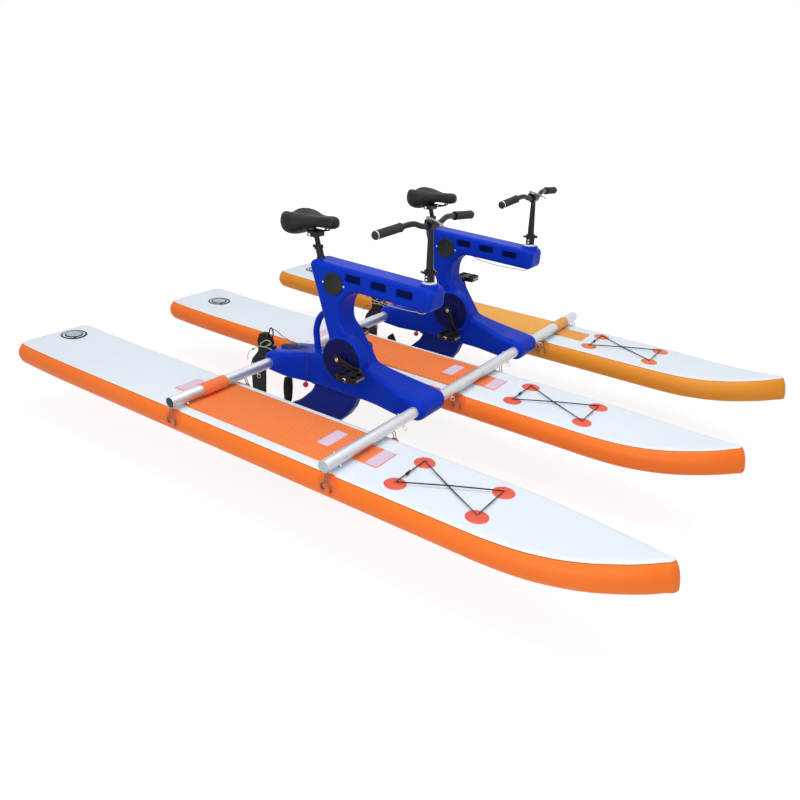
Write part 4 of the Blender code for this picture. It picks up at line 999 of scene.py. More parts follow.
    def rail_spot(self, angle: float, lift: float) -> tuple[float, float]:
        """A point off the straight rail, as (distance to port, height)."""
        turn = math.radians(angle)
        out = self.half_width - self.rail_bulge + (self.rail_bulge + lift) * math.cos(turn)
        return out, self.thickness / 2 + (self.thickness / 2 + lift) * math.sin(turn)

    def patch(self, piece: Workpiece, x: float, side: int) -> None:
        """One round patch glued round the rail.

        Args:
            piece: the workpiece that takes it.
            x: the station.
            side: 1 for the port rail and -1 for the starboard one.
        """
        part = bmesh.new()
        bmesh.ops.create_circle(part, cap_ends=True, segments=40, radius=self.patch_radius)
        for cut in range(-6, 7):
            slice_faces(part, part.faces, (0, self.patch_radius * cut / 7, 0), (0, 1, 0), dist=0.0)
        for vert in part.verts:
            angle = self.patch_angle + math.degrees(vert.co.y / self.rail_bulge)
            out, height = self.rail_spot(angle, 0.0009)
            vert.co = Vector((x + vert.co.x, side * out, height))
        bmesh.ops.recalc_face_normals(part, faces=part.faces)
        bmesh.ops.solidify(part, geom=part.faces, thickness=0.0016)
        finish = Look.PATCH_AMBER if self.amber else Look.PATCH_ORANGE
        piece.join(part, finish, self.placed)

    def ring(self, piece: Workpiece, x: float, side: int) -> None:
        """The D-ring on its patch, its webbing tab and the wire link that ties the bar down to it.

        Args:
            piece: the workpiece that takes them.
            x: the station.
            side: 1 for the port rail and -1 for the starboard one.
        """
        matrix = self.placed
        lean = math.radians(self.patch_angle)
        outward = Vector((0, side * math.cos(lean), math.sin(lean)))
        out, height = self.rail_spot(self.patch_angle - 19, 0.004)
        foot = Vector((x, side * out, height))
        along = Vector((1, 0, 0))
        steep = math.radians(78)
        upward = Vector((0, side * math.cos(steep), math.sin(steep)))
        radius = 0.0215
        wire = 2.8 * MILLIMETRE
        bow = [foot - radius * along, foot - radius * along + 0.01 * upward]
        for i in range(1, 8):
            turn = math.pi * i / 8
            bow.append(foot - radius * math.cos(turn) * along + (0.012 + radius * math.sin(turn)) * upward)
        bow += [foot + radius * along + 0.01 * upward, foot + radius * along]
        piece.tube(bow, wire, Look.STEEL_RING, matrix)
        ends = [foot - radius * along, foot + radius * along]
        piece.tube(ends, wire, Look.STEEL_RING, matrix, smooth=False)
        tab = rounded_rectangle((-0.015, -0.016), (0.015, 0.005), 0.003)
        flat = facing(foot - 0.002 * outward, outward)
        piece.plate(tab, -0.0015, 0.0052, self.webbing, matrix @ flat, 0.002)
        top = Vector((x, side * (out - 0.006), BAR_Z - 0.0235))
        low = foot + (radius + 0.011) * upward
        link = [low + 0.004 * along, (low + top) / 2 + 0.005 * along, top + 0.004 * along]
        link += [top - 0.004 * along, (low + top) / 2 - 0.005 * along, low - 0.004 * along]
        piece.tube(link, 0.0018, Look.STEEL_RING, matrix, closed=True)

    def rings(self) -> None:
        """All four patches with their rings."""
        piece = Workpiece(f"tie_rings_{self.place.word}")
        for x in (-BAR_X, BAR_X + 0.01):
            for side in (-1, 1):
                self.patch(piece, x, side)
                self.ring(piece, x, side)
        piece.finished("boat")

    def valve(self) -> None:
        """The inflation valve: a reinforcing disc, the flange, the ribbed cap and its keeper."""
        x, y = self.valve_spot
        base = self.thickness + self.rise(x)
        matrix = Matrix.Translation((x, self.place.value + y, base))
        piece = Workpiece(f"valve_{self.place.word}")
        piece.turn([(0, 0.0006), (0.05, 0.0006), (0.05, -0.001), (0, -0.001)], Look.DECK_WHITE, matrix)
        disc = [(0.06, -0.001), (0.06, 0.0018), (0.059, 0.0024), (0.0525, 0.0024)]
        disc += [(0.051, 0.0018), (0.051, -0.001)]
        piece.turn(disc, Look.BLACK_ABS, matrix, 64, ring=True)
        rim = [(0.042, -0.001), (0.042, 0.003), (0.0405, 0.0042), (0.0365, 0.0042)]
        rim += [(0.035, 0.003), (0.035, -0.001)]
        piece.turn(rim, Look.BLACK_ABS, matrix, 64, ring=True)
        cap = [(0, -0.001), (0.0352, -0.001), (0.0352, 0.004)]
        for k in range(5):
            outer = 0.034 - 0.0056 * k
            cap += [(outer, 0.0052), (outer - 0.0024, 0.0052)]
            cap += [(outer - 0.0032, 0.004), (outer - 0.005, 0.004)]
        piece.turn([*cap, (0, 0.004)], Look.VALVE_GREY, matrix, 64)
        bar = rounded_rectangle((-0.013, -0.003), (0.013, 0.003), 0.002)
        piece.plate(bar, 0.0035, 0.0072, Look.VALVE_GREY, matrix, 0.0008)
        keeper = rounded_rectangle((0.018, -0.005), (0.064, 0.005), 0.0045)
        piece.plate(keeper, 0.002, 0.0042, Look.BLACK_ABS, matrix @ Matrix.Rotation(-0.5, 4, "Z"), 0.0008)
        piece.finished("boat")

    def build(self) -> None:
        """Builds and dresses everything glued to this float."""
        self.body()
        self.pad()
        self.rings()
        self.valve()


@dataclass
class BowBungee:
    """The elastic cord crossed over a foredeck between four glued anchors."""

    hull: Float
    anchor_x: tuple[float, float] = (0.612, 0.933)
    half_span: float = 0.095
    disc_radius: float = 0.04
    cord_radius: float = 0.0026

    def spot(self, x: float, side: int) -> Vector:
        """Where the cord passes over an anchor."""
        return Vector((x, side * self.half_span, self.hull.thickness + self.hull.rise(x) + 0.0085))

    def anchor(self, piece: Workpiece, x: float, side: int) -> None:
        """One anchor: the glued disc and the small eye that holds the cord.

        Args:
            piece: the workpiece that takes it.
            x: the station.
            side: 1 for port and -1 for starboard.
        """
        base = self.hull.thickness + self.hull.rise(x)
        matrix = Matrix.Translation((x, self.hull.place.value + side * self.half_span, base))
        rim = self.disc_radius
        disc = [(0, -0.001), (rim, -0.001), (rim, 0.001), (rim - 0.001, 0.0018)]
        disc += [(0.02, 0.0024), (0.012, 0.004), (0.006, 0.0055), (0, 0.0058)]
        finish = Look.DISC_TAN if self.hull.amber else Look.DISC_CORAL
        piece.turn(disc, finish, matrix, 56)
        turned = matrix @ Matrix.Rotation(math.radians(35 * side), 4, "Z")
        patch = rounded_rectangle((-0.013, -0.008), (0.013, 0.008), 0.003)
        piece.plate(patch, 0.002, 0.0046, finish, turned, 0.001)
        eye = [(-0.009, 0, 0.003), (-0.007, 0, 0.0095), (0, 0, 0.0125), (0.007, 0, 0.0095), (0.009, 0, 0.003)]
        piece.tube(eye, 0.0017, finish, turned)

    def build(self) -> None:
        """Builds the anchors, the cord with its crossing, and the cord lock on the rear run."""
        word = self.hull.place.word
        piece = Workpiece(f"bow_bungee_{word}_dressed")
        for x in self.anchor_x:
            for side in (-1, 1):
                self.anchor(piece, x, side)
        matrix = self.hull.placed
        rear, front = self.anchor_x
        over = Vector((0, 0, 0.003))
        first = (self.spot(rear, -1), self.spot(front, 1))
        second = (self.spot(front, -1), self.spot(rear, 1))
        route = [first[0], (first[0] + first[1]) / 2 + over, first[1]]
        route += [(first[1] + second[0]) / 2, second[0], (second[0] + second[1]) / 2 - over, second[1]]
        route.append((second[1] + first[0]) / 2)
        piece.tube(route, self.cord_radius, Look.CORD_BLACK, matrix, closed=True, smooth=False)
        lock = first[0].lerp(second[1], 0.4)
        grip = [(0, -0.009), (0.0042, -0.009), (0.0052, -0.007), (0.0052, 0.007), (0.0042, 0.009), (0, 0.009)]
        piece.turn(grip, Look.BLACK_ABS, matrix @ facing(lock, (0, 1, 0)), 24)
        tail = [lock, lock + Vector((-0.006, 0.018, -0.002)), lock + Vector((-0.01, 0.03, -0.005))]
        piece.tube(tail, 0.0018, Look.CORD_BLACK, matrix)
        piece.finished("boat", [f"bow_bungee_{word}"], "bungee_black")


@dataclass
class Strap:
    """A webbing strap that holds a bar down: open flat on the deck, or wrapped round its bar."""

    hull: Float
    front: bool
    width: float = 0.13
    thickness: float = 0.0025
    offset_y: float = 0.015

    @property
    def name(self) -> str:
        """The CAD node's name."""
        return f"{'front' if self.front else 'rear'}_strap_{self.hull.place.word}"

    @property
    def open(self) -> bool:
        """Whether the strap lies open, as the two near front ones do in the photograph."""
        return self.front and self.hull.place is not Place.PORT

    def route(self) -> list[Vector]:
        """The strap's middle line, as points along and up."""
        deck = self.hull.thickness + 0.0003 + self.thickness / 2
        pad = deck + self.hull.pad_thickness
        if self.open:
            edge = self.hull.pad_front_x
            points = [(0.22, pad), (0.3, pad), (edge + 0.004, pad), (edge + 0.018, deck + 0.002)]
            points += [(edge + 0.032, deck), (0.44, deck), (0.5, deck)]
            return [Vector(point) for point in points]
        bar_x = BAR_X if self.front else -BAR_X
        half = "starboard" if self.hull.place is Place.STARBOARD else "port"
        wrap = BAR_RADIUS[half] + self.thickness / 2 + 0.0006
        outward = 1 if self.front else -1
        tail = [(bar_x + outward * reach, deck) for reach in (0.16, 0.11, 0.06, 0.046)]
        tail += [(bar_x + outward * 0.022, BAR_Z - wrap), (bar_x, BAR_Z - wrap)]
        loop = arc_points((bar_x, BAR_Z), wrap, -90 - outward * 12, -90 - outward * 325, 26)
        return [*[Vector(point) for point in tail], *loop]

    def outline(self, route: Sequence[Vector]) -> list[Vector]:
        """The band's edge as seen from the side, half its thickness off both sides of a middle line."""
        above = []
        below = []
        for i, point in enumerate(route):
            along = (route[min(i + 1, len(route) - 1)] - route[max(i - 1, 0)]).normalized()
            normal = Vector((-along.y, along.x)) * self.thickness / 2
            above.append(point + normal)
            below.append(point - normal)
        return [*above, *reversed(below)]

    def tapes(self, end: float) -> list[tuple[float, float]]:
        """Where the squares of hook tape start and stop along the hull.

        Args:
            end: the station of the strap's free end.
        """
        if self.open:
            return [(0.222, 0.276), (0.446, 0.499)]
        return [] if self.front else [(end + 0.001, end + 0.054)]

    def build(self) -> None:
        """Builds the strap and its hook tape."""
        matrix = Matrix.Translation((0, self.hull.place.value + self.offset_y, 0))
        half_width = self.width / 2
        piece = Workpiece(f"{self.name}_dressed")
        route = self.route()
        upright = matrix @ UPRIGHT
        piece.plate(self.outline(route), -half_width, half_width, self.hull.webbing, upright, 0.0006)
        inset = half_width - 0.002
        for low, high in self.tapes(route[0].x):
            on_pad = self.open and low < self.hull.pad_front_x
            under = self.hull.thickness + (self.hull.pad_thickness if on_pad else 0.0)
            outline = rounded_rectangle((low, -inset), (high, inset), 0.003)
            lifted = matrix @ Matrix.Translation((0, 0, under + self.thickness))
            piece.plate(outline, 0.0, 0.0014, Look.HOOK_LILAC, lifted, 0.0004)
        piece.finished("boat", [self.name], "strap_webbing", angle=50)


@dataclass
class Crossbar:
    """One crossbar: two aluminium tubes, the port one sleeved over the starboard one."""

    front: bool
    half_length: float = 1.113
    sleeve: float = 0.12
    wall: float = 0.0017

    @property
    def x(self) -> float:
        """The bar's station."""
        return BAR_X if self.front else -BAR_X

    def tube(self, half: str) -> None:
        """One half of the bar with its buttons, pins and, at the near front end, its cap.

        Args:
            half: starboard or port.
        """
        node = f"{'front' if self.front else 'rear'}_crossbar_{half}"
        piece = Workpiece(f"{node}_dressed")
        outer = BAR_RADIUS[half]
        inner = outer - self.wall
        ease = 0.0005
        start, end = (-self.half_length, self.sleeve) if half == "starboard" else (0.0, self.half_length)
        profile = [(inner, start + ease), (inner + ease, start), (outer - ease, start), (outer, start + ease)]
        profile += [(outer, end - ease), (outer - ease, end), (inner + ease, end), (inner, end - ease)]
        matrix = facing((self.x, 0, BAR_Z), (0, 1, 0))
        piece.turn(profile, Look.BARE_ALUMINIUM, matrix, 64, ring=True)
        if self.front and half == "starboard":
            cap = [(0, start - 0.0018), (outer - 0.003, start - 0.0018), (outer - 0.001, start - 0.001)]
            cap += [(outer - 0.0005, start - 0.0002), (inner - 0.0003, start + 0.0002)]
            cap += [(inner - 0.0003, start + 0.012), (inner - 0.002, start + 0.012)]
            cap += [(inner - 0.002, start + 0.002), (0, start + 0.002)]
            piece.turn(cap, Look.VALVE_GREY, matrix, 48)
        self.buttons(piece, half, outer)
        piece.finished("boat", [node], "aluminium")

    def buttons(self, piece: Workpiece, half: str, outer: float) -> None:
        """Spring buttons in their holes, on top of the bar, and the wire pins through it.

        Args:
            piece: the workpiece that takes them.
            half: starboard or port.
            outer: the tube's radius.
        """
        middle = -0.45 if half == "starboard" else 0.45
        hole = [(0, -0.0004), (0.0052, -0.0004), (0.0052, 0.0004), (0, 0.0006)]
        dome = [(0, 0.0), (0.0038, 0.0), (0.0036, 0.0018), (0.0024, 0.003), (0, 0.0034)]
        button_reach = 0.105
        pin_reach = 0.185
        for y in (middle - button_reach, middle + button_reach):
            top = facing((self.x, y, BAR_Z + outer), (0, 0, 1))
            piece.turn(hole, Look.BLACK_ABS, top, 24)
            piece.turn(dome, Look.STEEL_WIRE, top, 24)
        shank = [(0, 0, -outer - 0.009), (0, 0, outer + 0.004)]
        loop = [(0, 0, outer + 0.003), (0.01, 0, outer + 0.012)]
        loop += [(0, 0, outer + 0.022), (-0.01, 0, outer + 0.012)]
        over = Matrix.Rotation(math.pi, 4, "Y")
        pins = ((middle - pin_reach, True), (middle + pin_reach, True), (2.3 * middle, False))
        for y, looped in pins:
            turn = Matrix.Translation((self.x, y, BAR_Z)) @ Matrix.Rotation(math.radians(-35), 4, "Y")
            piece.tube(shank, 0.0028, Look.STEEL_WIRE, turn, smooth=False)
            if looped:
                piece.tube(loop, 0.0012, Look.STEEL_WIRE, turn @ over, closed=True)

    def build(self) -> None:
        """Builds both halves."""
        for half in ("starboard", "port"):
            self.tube(half)


# Pedal units


@dataclass
class PedalFrame:
    """The moulded blue frame with its covers, seat tube, bolts and cable bundle.

    Its moulding follows the photograph: the gear cover stands on the starboard side only, and the column's
    front edge sweeps down past it into the front leg.
    """

    unit: Unit
    half_width: float = 0.06
    edge: float = 0.018
    foot_half_width: float = 0.0935
    sleeve_radius: float = 0.0419
    skin_voxel: float = 0.0031
    skin_passes: int = 3
    hub: tuple[float, float] = (0.012, 0.262)
    hub_radius: float = 0.105
    hub_face: float = 0.088
    hatch_x: float = -0.062
    hatch_z: float = 0.573
    hatch_radius: float = 0.0475
    slots_x: tuple[float, ...] = (0.0345, 0.16, 0.285)
    slot_size: tuple[float, float] = (0.077, 0.033)
    slot_depth: float = 0.018

    @property
    def side_plane(self) -> Matrix:
        """Turns an outline drawn along and up into the frame's side, its third axis towards starboard."""
        return self.unit.fixed @ UPRIGHT

    def slot_middle(self, x: float) -> float:
        """The height of a slot's middle, which follows the boom's slope."""
        return 0.607 - 0.03 * (x - 0.16)

    def slot_outline(self, x: float, shrink: float) -> list[Vector]:
        """The outline of the slot at a station, made smaller all round."""
        half = (self.slot_size[0] / 2 - shrink, self.slot_size[1] / 2 - shrink)
        z = self.slot_middle(x)
        return rounded_rectangle((x - half[0], z - half[1]), (x + half[0], z + half[1]), 0.006)

    def boom(self) -> Workpiece:
        """The boom and the seat column in one outline, with the slots carved into both sides."""
        corners = [
            (0.404, 0.549, 0.024),
            (0.404, 0.641, 0.026),
            (-0.203, 0.655, 0.024),
            (-0.087, 0.335, 0.05),
            (-0.09, 0.18, 0.03),
            (0.108, 0.18, 0.03),
            (0.108, 0.246, 0.06),
            (0.016, 0.372, 0.06),
            (-0.03, 0.415, 0.06),
            (-0.03, 0.558, 0.095),
        ]
        piece = Workpiece(f"pedal_frame_{self.unit.word}_moulding")
        outline = rounded_outline(corners)
        width = self.half_width
        piece.plate(outline, -width, width, Look.FRAME_BLUE, self.side_plane, self.edge)
        cutter = Workpiece("slots")
        inner = width - self.slot_depth
        outer = width + 0.01
        for x in self.slots_x:
            for low, high in ((inner, outer), (-outer, -inner)):
                cutter.plate(self.slot_outline(x, 0.0), low, high, Look.FRAME_BLUE, self.side_plane, 0.0)
        piece.carve(cutter)
        return piece

    def feet(self, piece: Workpiece) -> None:
        """The front leg and the rear arm, which widen towards their bar sleeves."""
        corners = [
            (0.108, 0.246, 0.07),
            (0.05, 0.3, 0.01),
            (-0.07, 0.3, 0.01),
            (-0.09, 0.25, 0.03),
            (-0.27, 0.222, 0.2),
            (-0.432, 0.1875, self.sleeve_radius),
            (-0.432, 0.1035, self.sleeve_radius),
            (-0.3, 0.095, 0.2),
            (0.3, 0.095, 0.2),
            (0.432, 0.1035, self.sleeve_radius),
            (0.432, 0.1875, self.sleeve_radius),
            (0.29, 0.205, 0.2),
        ]
        shape = Workpiece("feet")
        outline = rounded_outline(corners)
        shape.plate(outline, -self.half_width, self.half_width, Look.FRAME_BLUE, UPRIGHT, self.edge)
        mesh = shape.mesh
        narrow = 0.13
        wide = 0.33
        for x in (-wide, -0.28, -0.23, -0.18, -narrow, narrow, 0.18, 0.23, 0.28, wide):
            slice_faces(mesh, mesh.faces, (x, 0, 0), (1, 0, 0))
        for vert in mesh.verts:
            share = min(1.0, max(0.0, (abs(vert.co.x) - narrow) / 0.2))
            smooth = share * share * (3 - 2 * share)
            vert.co.y *= 1 + (self.foot_half_width / self.half_width - 1) * smooth
        piece.join(mesh, Look.FRAME_BLUE, self.unit.fixed)

    def fittings(self, piece: Workpiece) -> None:
        """The gear housing, steering boss, hoop handle, rudder lug and the front sleeve's ribs."""
        x, z = self.hub
        starboard = self.unit.fixed @ facing((x, 0, z), (0, -1, 0))
        face, rim = self.hub_face, self.hub_radius
        drum = [(0, 0.03), (rim, 0.03), (rim, face - 0.008), (rim - 0.008, face), (0, face)]
        piece.turn(drum, Look.FRAME_BLUE, starboard, 96)
        port = self.unit.fixed @ facing((x, 0, z), (0, 1, 0))
        stub = [(0, 0.03), (0.05, 0.03), (0.046, 0.082), (0.04, face), (0, face)]
        piece.turn(stub, Look.FRAME_BLUE, port, 64)
        steering = self.unit.fixed @ facing(STEER_BASE, STEER_UP)
        boss = [(0, -0.05), (0.026, -0.05), (0.03, -0.026), (0.0395, -0.014), (0.0395, -0.002)]
        boss += [(0.035, 0.004), (0, 0.004)]
        piece.turn(boss, Look.FRAME_BLUE, steering, 64)
        hoop = [(-0.18, 0, 0.215), (-0.19, 0, 0.27), (-0.193, 0, 0.345)]
        hoop += [(-0.155, 0, 0.412), (-0.08, 0, 0.434)]
        piece.tube(hoop, 0.015, Look.FRAME_BLUE, self.unit.fixed)
        lug = [(0, 0.1205), (0.013, 0.1205), (0.013, 0.1675), (0, 0.1675)]
        piece.turn(lug, Look.FRAME_BLUE, self.unit.fixed @ Matrix.Translation((RUDDER_HINGE.x, 0, 0)), 32)
        web = rounded_rectangle((RUDDER_HINGE.x, 0.1225), (-0.42, 0.1655), 0.002)
        piece.plate(web, -0.01, 0.01, Look.FRAME_BLUE, self.side_plane, 0.001)
        for rib in arc_points((BAR_X, BAR_Z), self.sleeve_radius, 15, 61, 2):
            ends = [(rib.x, y, rib.y) for y in (-0.078, 0.078)]
            piece.tube(ends, 0.0032, Look.FRAME_BLUE, self.unit.fixed, smooth=False)

    def moulding(self) -> None:
        """The whole frame, as one skin with soft corners."""
        piece = self.boom()
        self.feet(piece)
        self.fittings(piece)
        node = f"pedal_frame_{self.unit.word}"
        made = piece.finished("boat", [node], "frame_blue", angle=180)
        mould(made, self.skin_voxel, self.skin_passes)

    def slot_floors(self) -> None:
        """Dark navy plates on the slots' floors: painted shade in the recesses."""
        piece = Workpiece(f"slot_floors_{self.unit.word}")
        low = self.half_width - self.slot_depth
        floor = 3.0 * MILLIMETRE
        # Each slot gets a dark plate on both floors, painted shade.
        for x in self.slots_x:
            outline = self.slot_outline(x, 0.5 * MILLIMETRE)
            for start in (low, -low - floor):
                piece.plate(outline, start, start + floor, Look.POCKET_BLUE, self.side_plane, 0.0)
        piece.finished("boat", slot="frame_blue")

    def gear_cover(self) -> None:
        """The navy cover over the gears: a ribbed disc with a raised rim and a ring of screws."""
        x, z = self.hub
        piece = Workpiece(f"gear_cover_{self.unit.word}")
        matrix = self.unit.fixed @ facing((x, -self.hub_face, z), (0, -1, 0))
        disc = [(0, -0.002), (0.097, -0.002), (0.097, 0.0022), (0.095, 0.0034), (0.09, 0.0034)]
        disc += [(0.088, 0.0016), (0.056, 0.0012), (0.054, 0.0028), (0.051, 0.0028), (0.049, 0.0012)]
        disc += [(0.03, 0.0016), (0.028, 0.006), (0.018, 0.008), (0, 0.008)]
        piece.turn(disc, Look.COVER_NAVY, matrix, 96)
        screw = [(0, 0.0005), (0.0036, 0.0005), (0.0036, 0.0022), (0.0026, 0.0034), (0, 0.0034)]
        for k in range(8):
            spoke = matrix @ Matrix.Rotation(math.tau * (k + 0.5) / 8, 4, "Z")
            piece.turn(screw, Look.BLACK_ABS, spoke @ Matrix.Translation((0.078, 0, 0.0005)), 16)
            rib = rounded_rectangle((0.057, -0.0014), (0.087, 0.0014), 0.001)
            between = matrix @ Matrix.Rotation(math.tau * k / 8, 4, "Z")
            piece.plate(rib, 0.001, 0.0028, Look.COVER_NAVY, between, 0.0004)
        piece.finished("boat", slot="frame_blue")

    def hatches(self) -> None:
        """The round cover on each side with its rim and screws."""
        piece = Workpiece(f"hatch_covers_{self.unit.word}")
        radius = self.hatch_radius + 0.001
        cover = [(0, -0.004), (radius, -0.004), (radius, 0.0018), (radius - 0.0014, 0.0032)]
        cover += [(radius - 0.006, 0.0036), (radius - 0.008, 0.0026), (0, 0.0028)]
        screw = [(0, -0.001), (0.0042, -0.001), (0.0042, 0.0014), (0.0034, 0.0024), (0, 0.0028)]
        for side in (-1, 1):
            middle = (self.hatch_x, side * (self.half_width + 0.0006), self.hatch_z)
            matrix = self.unit.fixed @ facing(middle, (0, side, 0))
            piece.turn(cover, Look.HATCH_GREEN, matrix, 64)
            y = side * (self.half_width - 0.0005)
            for reach in (-radius - 0.0055, radius + 0.0055):
                spot = facing((self.hatch_x + reach, y, self.hatch_z), (0, side, 0))
                piece.turn(screw, Look.WHITE_NYLON, self.unit.fixed @ spot, 20)
        piece.finished("boat", slot="black_plastic")

    def seat_tube(self) -> None:
        """The black tube moulded into the boom, with its clamp collar."""
        piece = Workpiece(f"seat_tube_{self.unit.word}")
        matrix = self.unit.fixed @ facing(SEAT_TUBE_TOP, SEAT_UP)
        bore = 0.0122
        profile = [(bore, -0.03), (bore, 0.049), (0.0188, 0.049), (0.0196, 0.048), (0.0196, 0.035)]
        profile += [(0.0188, 0.034), (0.0155, 0.0336), (0.0155, 0.004), (0.0185, 0.001), (0.0185, -0.03)]
        piece.turn(profile, Look.BLACK_PAINT, matrix, 48, ring=True)
        piece.finished("boat", slot="black_metal")

    def cable_bundle(self) -> None:
        """The dark cables that lie bundled along the top of the rear arm."""
        piece = Workpiece(f"cable_bundle_{self.unit.word}")
        strands = 7
        middle = (strands - 1) / 2
        step = 0.036
        for k in range(strands):
            route = []
            for i in range(8):
                arch = math.sin(math.pi * i / 7)
                y = (k - middle) * 0.0068 * (0.55 + 0.45 * arch) + 0.003 * math.sin(1.9 * i + 1.7 * k)
                rest = 0.201 + 0.08 * step * i + 0.006 * arch
                route.append((step * i - 0.392, y, rest + 0.0045 * (k % 2)))
            piece.tube(route, 0.0038, Look.CORD_SLATE, self.unit.fixed)
        piece.finished("boat", slot="cord_grey")

    def steering_cable(self) -> None:
        """The pale cable that leaves the steering tube's foot and runs aft under the boom."""
        piece = Workpiece(f"steering_cable_{self.unit.word}")
        route = [(0.382, -0.03, 0.56), (0.375, -0.036, 0.545), (0.33, -0.04, 0.541)]
        route += [(0.25, -0.038, 0.537), (0.16, -0.036, 0.54), (0.1, -0.034, 0.548)]
        route.append((0.07, -0.03, 0.562))
        piece.tube(route, 0.0018, Look.ROPE_PALE, self.unit.fixed)
        piece.finished("boat", slot="cord_grey")

    def build(self) -> None:
        """Builds the frame and what is fixed to it."""
        self.moulding()
        self.slot_floors()
        self.gear_cover()
        self.hatches()
        self.seat_tube()
        self.cable_bundle()
        self.steering_cable()


@dataclass
class Drive:
    """The swept leg with its propeller, the cranks and the pedals."""

    frame: dict
    unit: Unit
    propeller_x: float = -0.362
    axis_z: float = -0.09
    blade_radius: float = 0.145
    blade_chord: float = 0.046
    crank_length: float = 0.12
    leg_voxel: float = 0.0034
    leg_passes: int = 5

    @property
    def blade_angle(self) -> float:
        """Where the propeller stands, in radians."""
        return math.radians({"STARBOARD": 0, "PORT": 28}[self.unit.name])

    @property
    def crank_angle(self) -> float:
        """Where the right crank stands, in radians."""
        return math.radians({"STARBOARD": -12, "PORT": -62}[self.unit.name])

    def leg(self) -> None:
        """The leg, as one soft-edged moulding."""
        # The leg's darker blue is painted shade.
        copy = CadCopy(self.frame, f"drive_leg_{self.unit.word}", Look.LEG_BLUE)
        copy.remoulded("boat", "frame_blue", self.leg_voxel, self.leg_passes)

    def blade(self) -> bmesh.types.BMesh:
        """One twisted blade, its sections bridged from root to tip."""
        stations = (
            # radius, share of the chord, pitch in degrees
            (0.01, 0.55, 62),
            (0.03, 0.78, 54),
            (0.06, 0.92, 42),
            (0.09, 1.00, 33),
            (0.118, 0.98, 27),
            (0.138, 0.9, 24),
            (self.blade_radius, 0.74, 22),
        )
        sections = []
        around = 16
        for radius, share, pitch in stations:
            half_chord = self.blade_chord / 2 * share
            half_thick = 0.0045 * (1 - 0.65 * radius / self.blade_radius)
            lean = Matrix.Rotation(math.radians(90 - pitch), 4, "Z")
            section = []
            for k in range(around):
                turn = math.tau * k / around
                spot = Vector((half_chord * math.cos(turn), half_thick * math.sin(turn), radius))
                section.append(lean @ spot)
            sections.append(section)
        return lofted(sections)

    def propeller(self) -> None:
        """The two-bladed propeller with its hub and shaft."""
        piece = Workpiece(f"propeller_{self.unit.word}_dressed")
        centre = Vector((self.propeller_x, 0, self.axis_z))
        matrix = self.unit.fixed @ facing(centre, (1, 0, 0))
        hub = [(0, -0.036), (0.007, -0.0355), (0.012, -0.033), (0.0165, -0.026), (0.0185, -0.014)]
        hub += [(0.019, 0.0), (0.0185, 0.02), (0.0175, 0.025), (0, 0.025)]
        piece.turn(hub, Look.BLACK_ABS, matrix, 40)
        shaft = [(0, 0.02), (0.005, 0.02), (0.005, 0.06), (0, 0.06)]
        piece.turn(shaft, Look.STEEL_WIRE, matrix, 24)
        for start in (0.0, math.pi):
            spin = Matrix.Rotation(start + self.blade_angle, 4, "X")
            piece.join(self.blade(), Look.BLACK_ABS, self.unit.fixed @ Matrix.Translation(centre) @ spin)
        piece.finished(f"screw_{self.unit.word}", [f"propeller_{self.unit.word}"], "black_plastic", angle=60)

    def arm(self, side: Side) -> None:
        """One crank arm, with its end bolt."""
        node = f"crank_arm_{side.word}_{self.unit.word}"
        CadCopy(self.frame, node, Look.BLACK_PAINT).eased(f"crank_{self.unit.word}", "black_metal")
        piece = Workpiece(f"crank_bolt_{side.word}_{self.unit.word}")
        face = CRANK_CENTRE + Vector((0, side.value * 0.1165, 0))
        bolt = [(0, -0.002), (0.0085, -0.002), (0.0085, 0.0015), (0.007, 0.0028)]
        bolt += [(0.0035, 0.0028), (0, 0.0014)]
        piece.turn(bolt, Look.STEEL_WIRE, self.unit.fixed @ facing(face, (0, side.value, 0)), 24)
        piece.finished(f"crank_{self.unit.word}")

    def pedal(self, side: Side) -> None:
        """One platform pedal with its cage teeth and end cap."""
        node = f"pedal_{side.word}_{self.unit.word}"
        body = f"pedal_{side.word}_spin_{self.unit.word}"
        CadCopy(self.frame, node, Look.BLACK_ABS).eased(body, "black_plastic")
        angle = self.crank_angle + (math.pi if side is Side.LEFT else 0.0)
        centre = CRANK_CENTRE + self.crank_length * Vector((math.cos(angle), 0, math.sin(angle)))
        centre.y = side.value * 0.172
        piece = Workpiece(f"pedal_trim_{side.word}_{self.unit.word}")
        matrix = self.unit.fixed @ Matrix.Translation(centre)
        tooth = [(0, -0.001), (0.003, -0.001), (0.0024, 0.0022), (0.001, 0.003), (0, 0.0031)]
        for x in (-0.0435, 0.0435):
            for k in range(5):
                for up in (-1, 1):
                    spot = facing((x, -0.032 + 0.016 * k, up * 0.011), (0, 0, up))
                    piece.turn(tooth, Look.BLACK_ABS, matrix @ spot, 12)
            strip = rounded_rectangle((-0.026, -0.0055), (0.026, 0.0055), 0.002)
            face = facing((math.copysign(0.0489, x), 0, 0), (math.copysign(1, x), 0, 0))
            quarter = Matrix.Rotation(math.pi / 2, 4, "Z")
            piece.plate(strip, -0.0005, 0.0012, Look.GREY_CAST, matrix @ face @ quarter, 0.0004)
        cap = [(0, -0.001), (0.0085, -0.001), (0.0085, 0.002), (0.007, 0.0032), (0, 0.0036)]
        piece.turn(cap, Look.STEEL_WIRE, matrix @ facing((0, side.value * 0.0432, 0), (0, side.value, 0)), 24)
        piece.finished(body)

    def hidden_steel(self) -> None:
        """The axle and the inner shaft keep their CAD meshes and get a steel finish."""
        for node in (f"crank_axle_{self.unit.word}", f"drive_shaft_{self.unit.word}"):
            slots = self.frame["nodes"][node].data.materials
            for i in range(len(slots)):
                slots[i] = Look.STEEL_WIRE.material()

    def build(self) -> None:
        """Builds the whole drive."""
        self.leg()
        self.propeller()
        self.hidden_steel()
        for side in Side:
            self.arm(side)
            self.pedal(side)


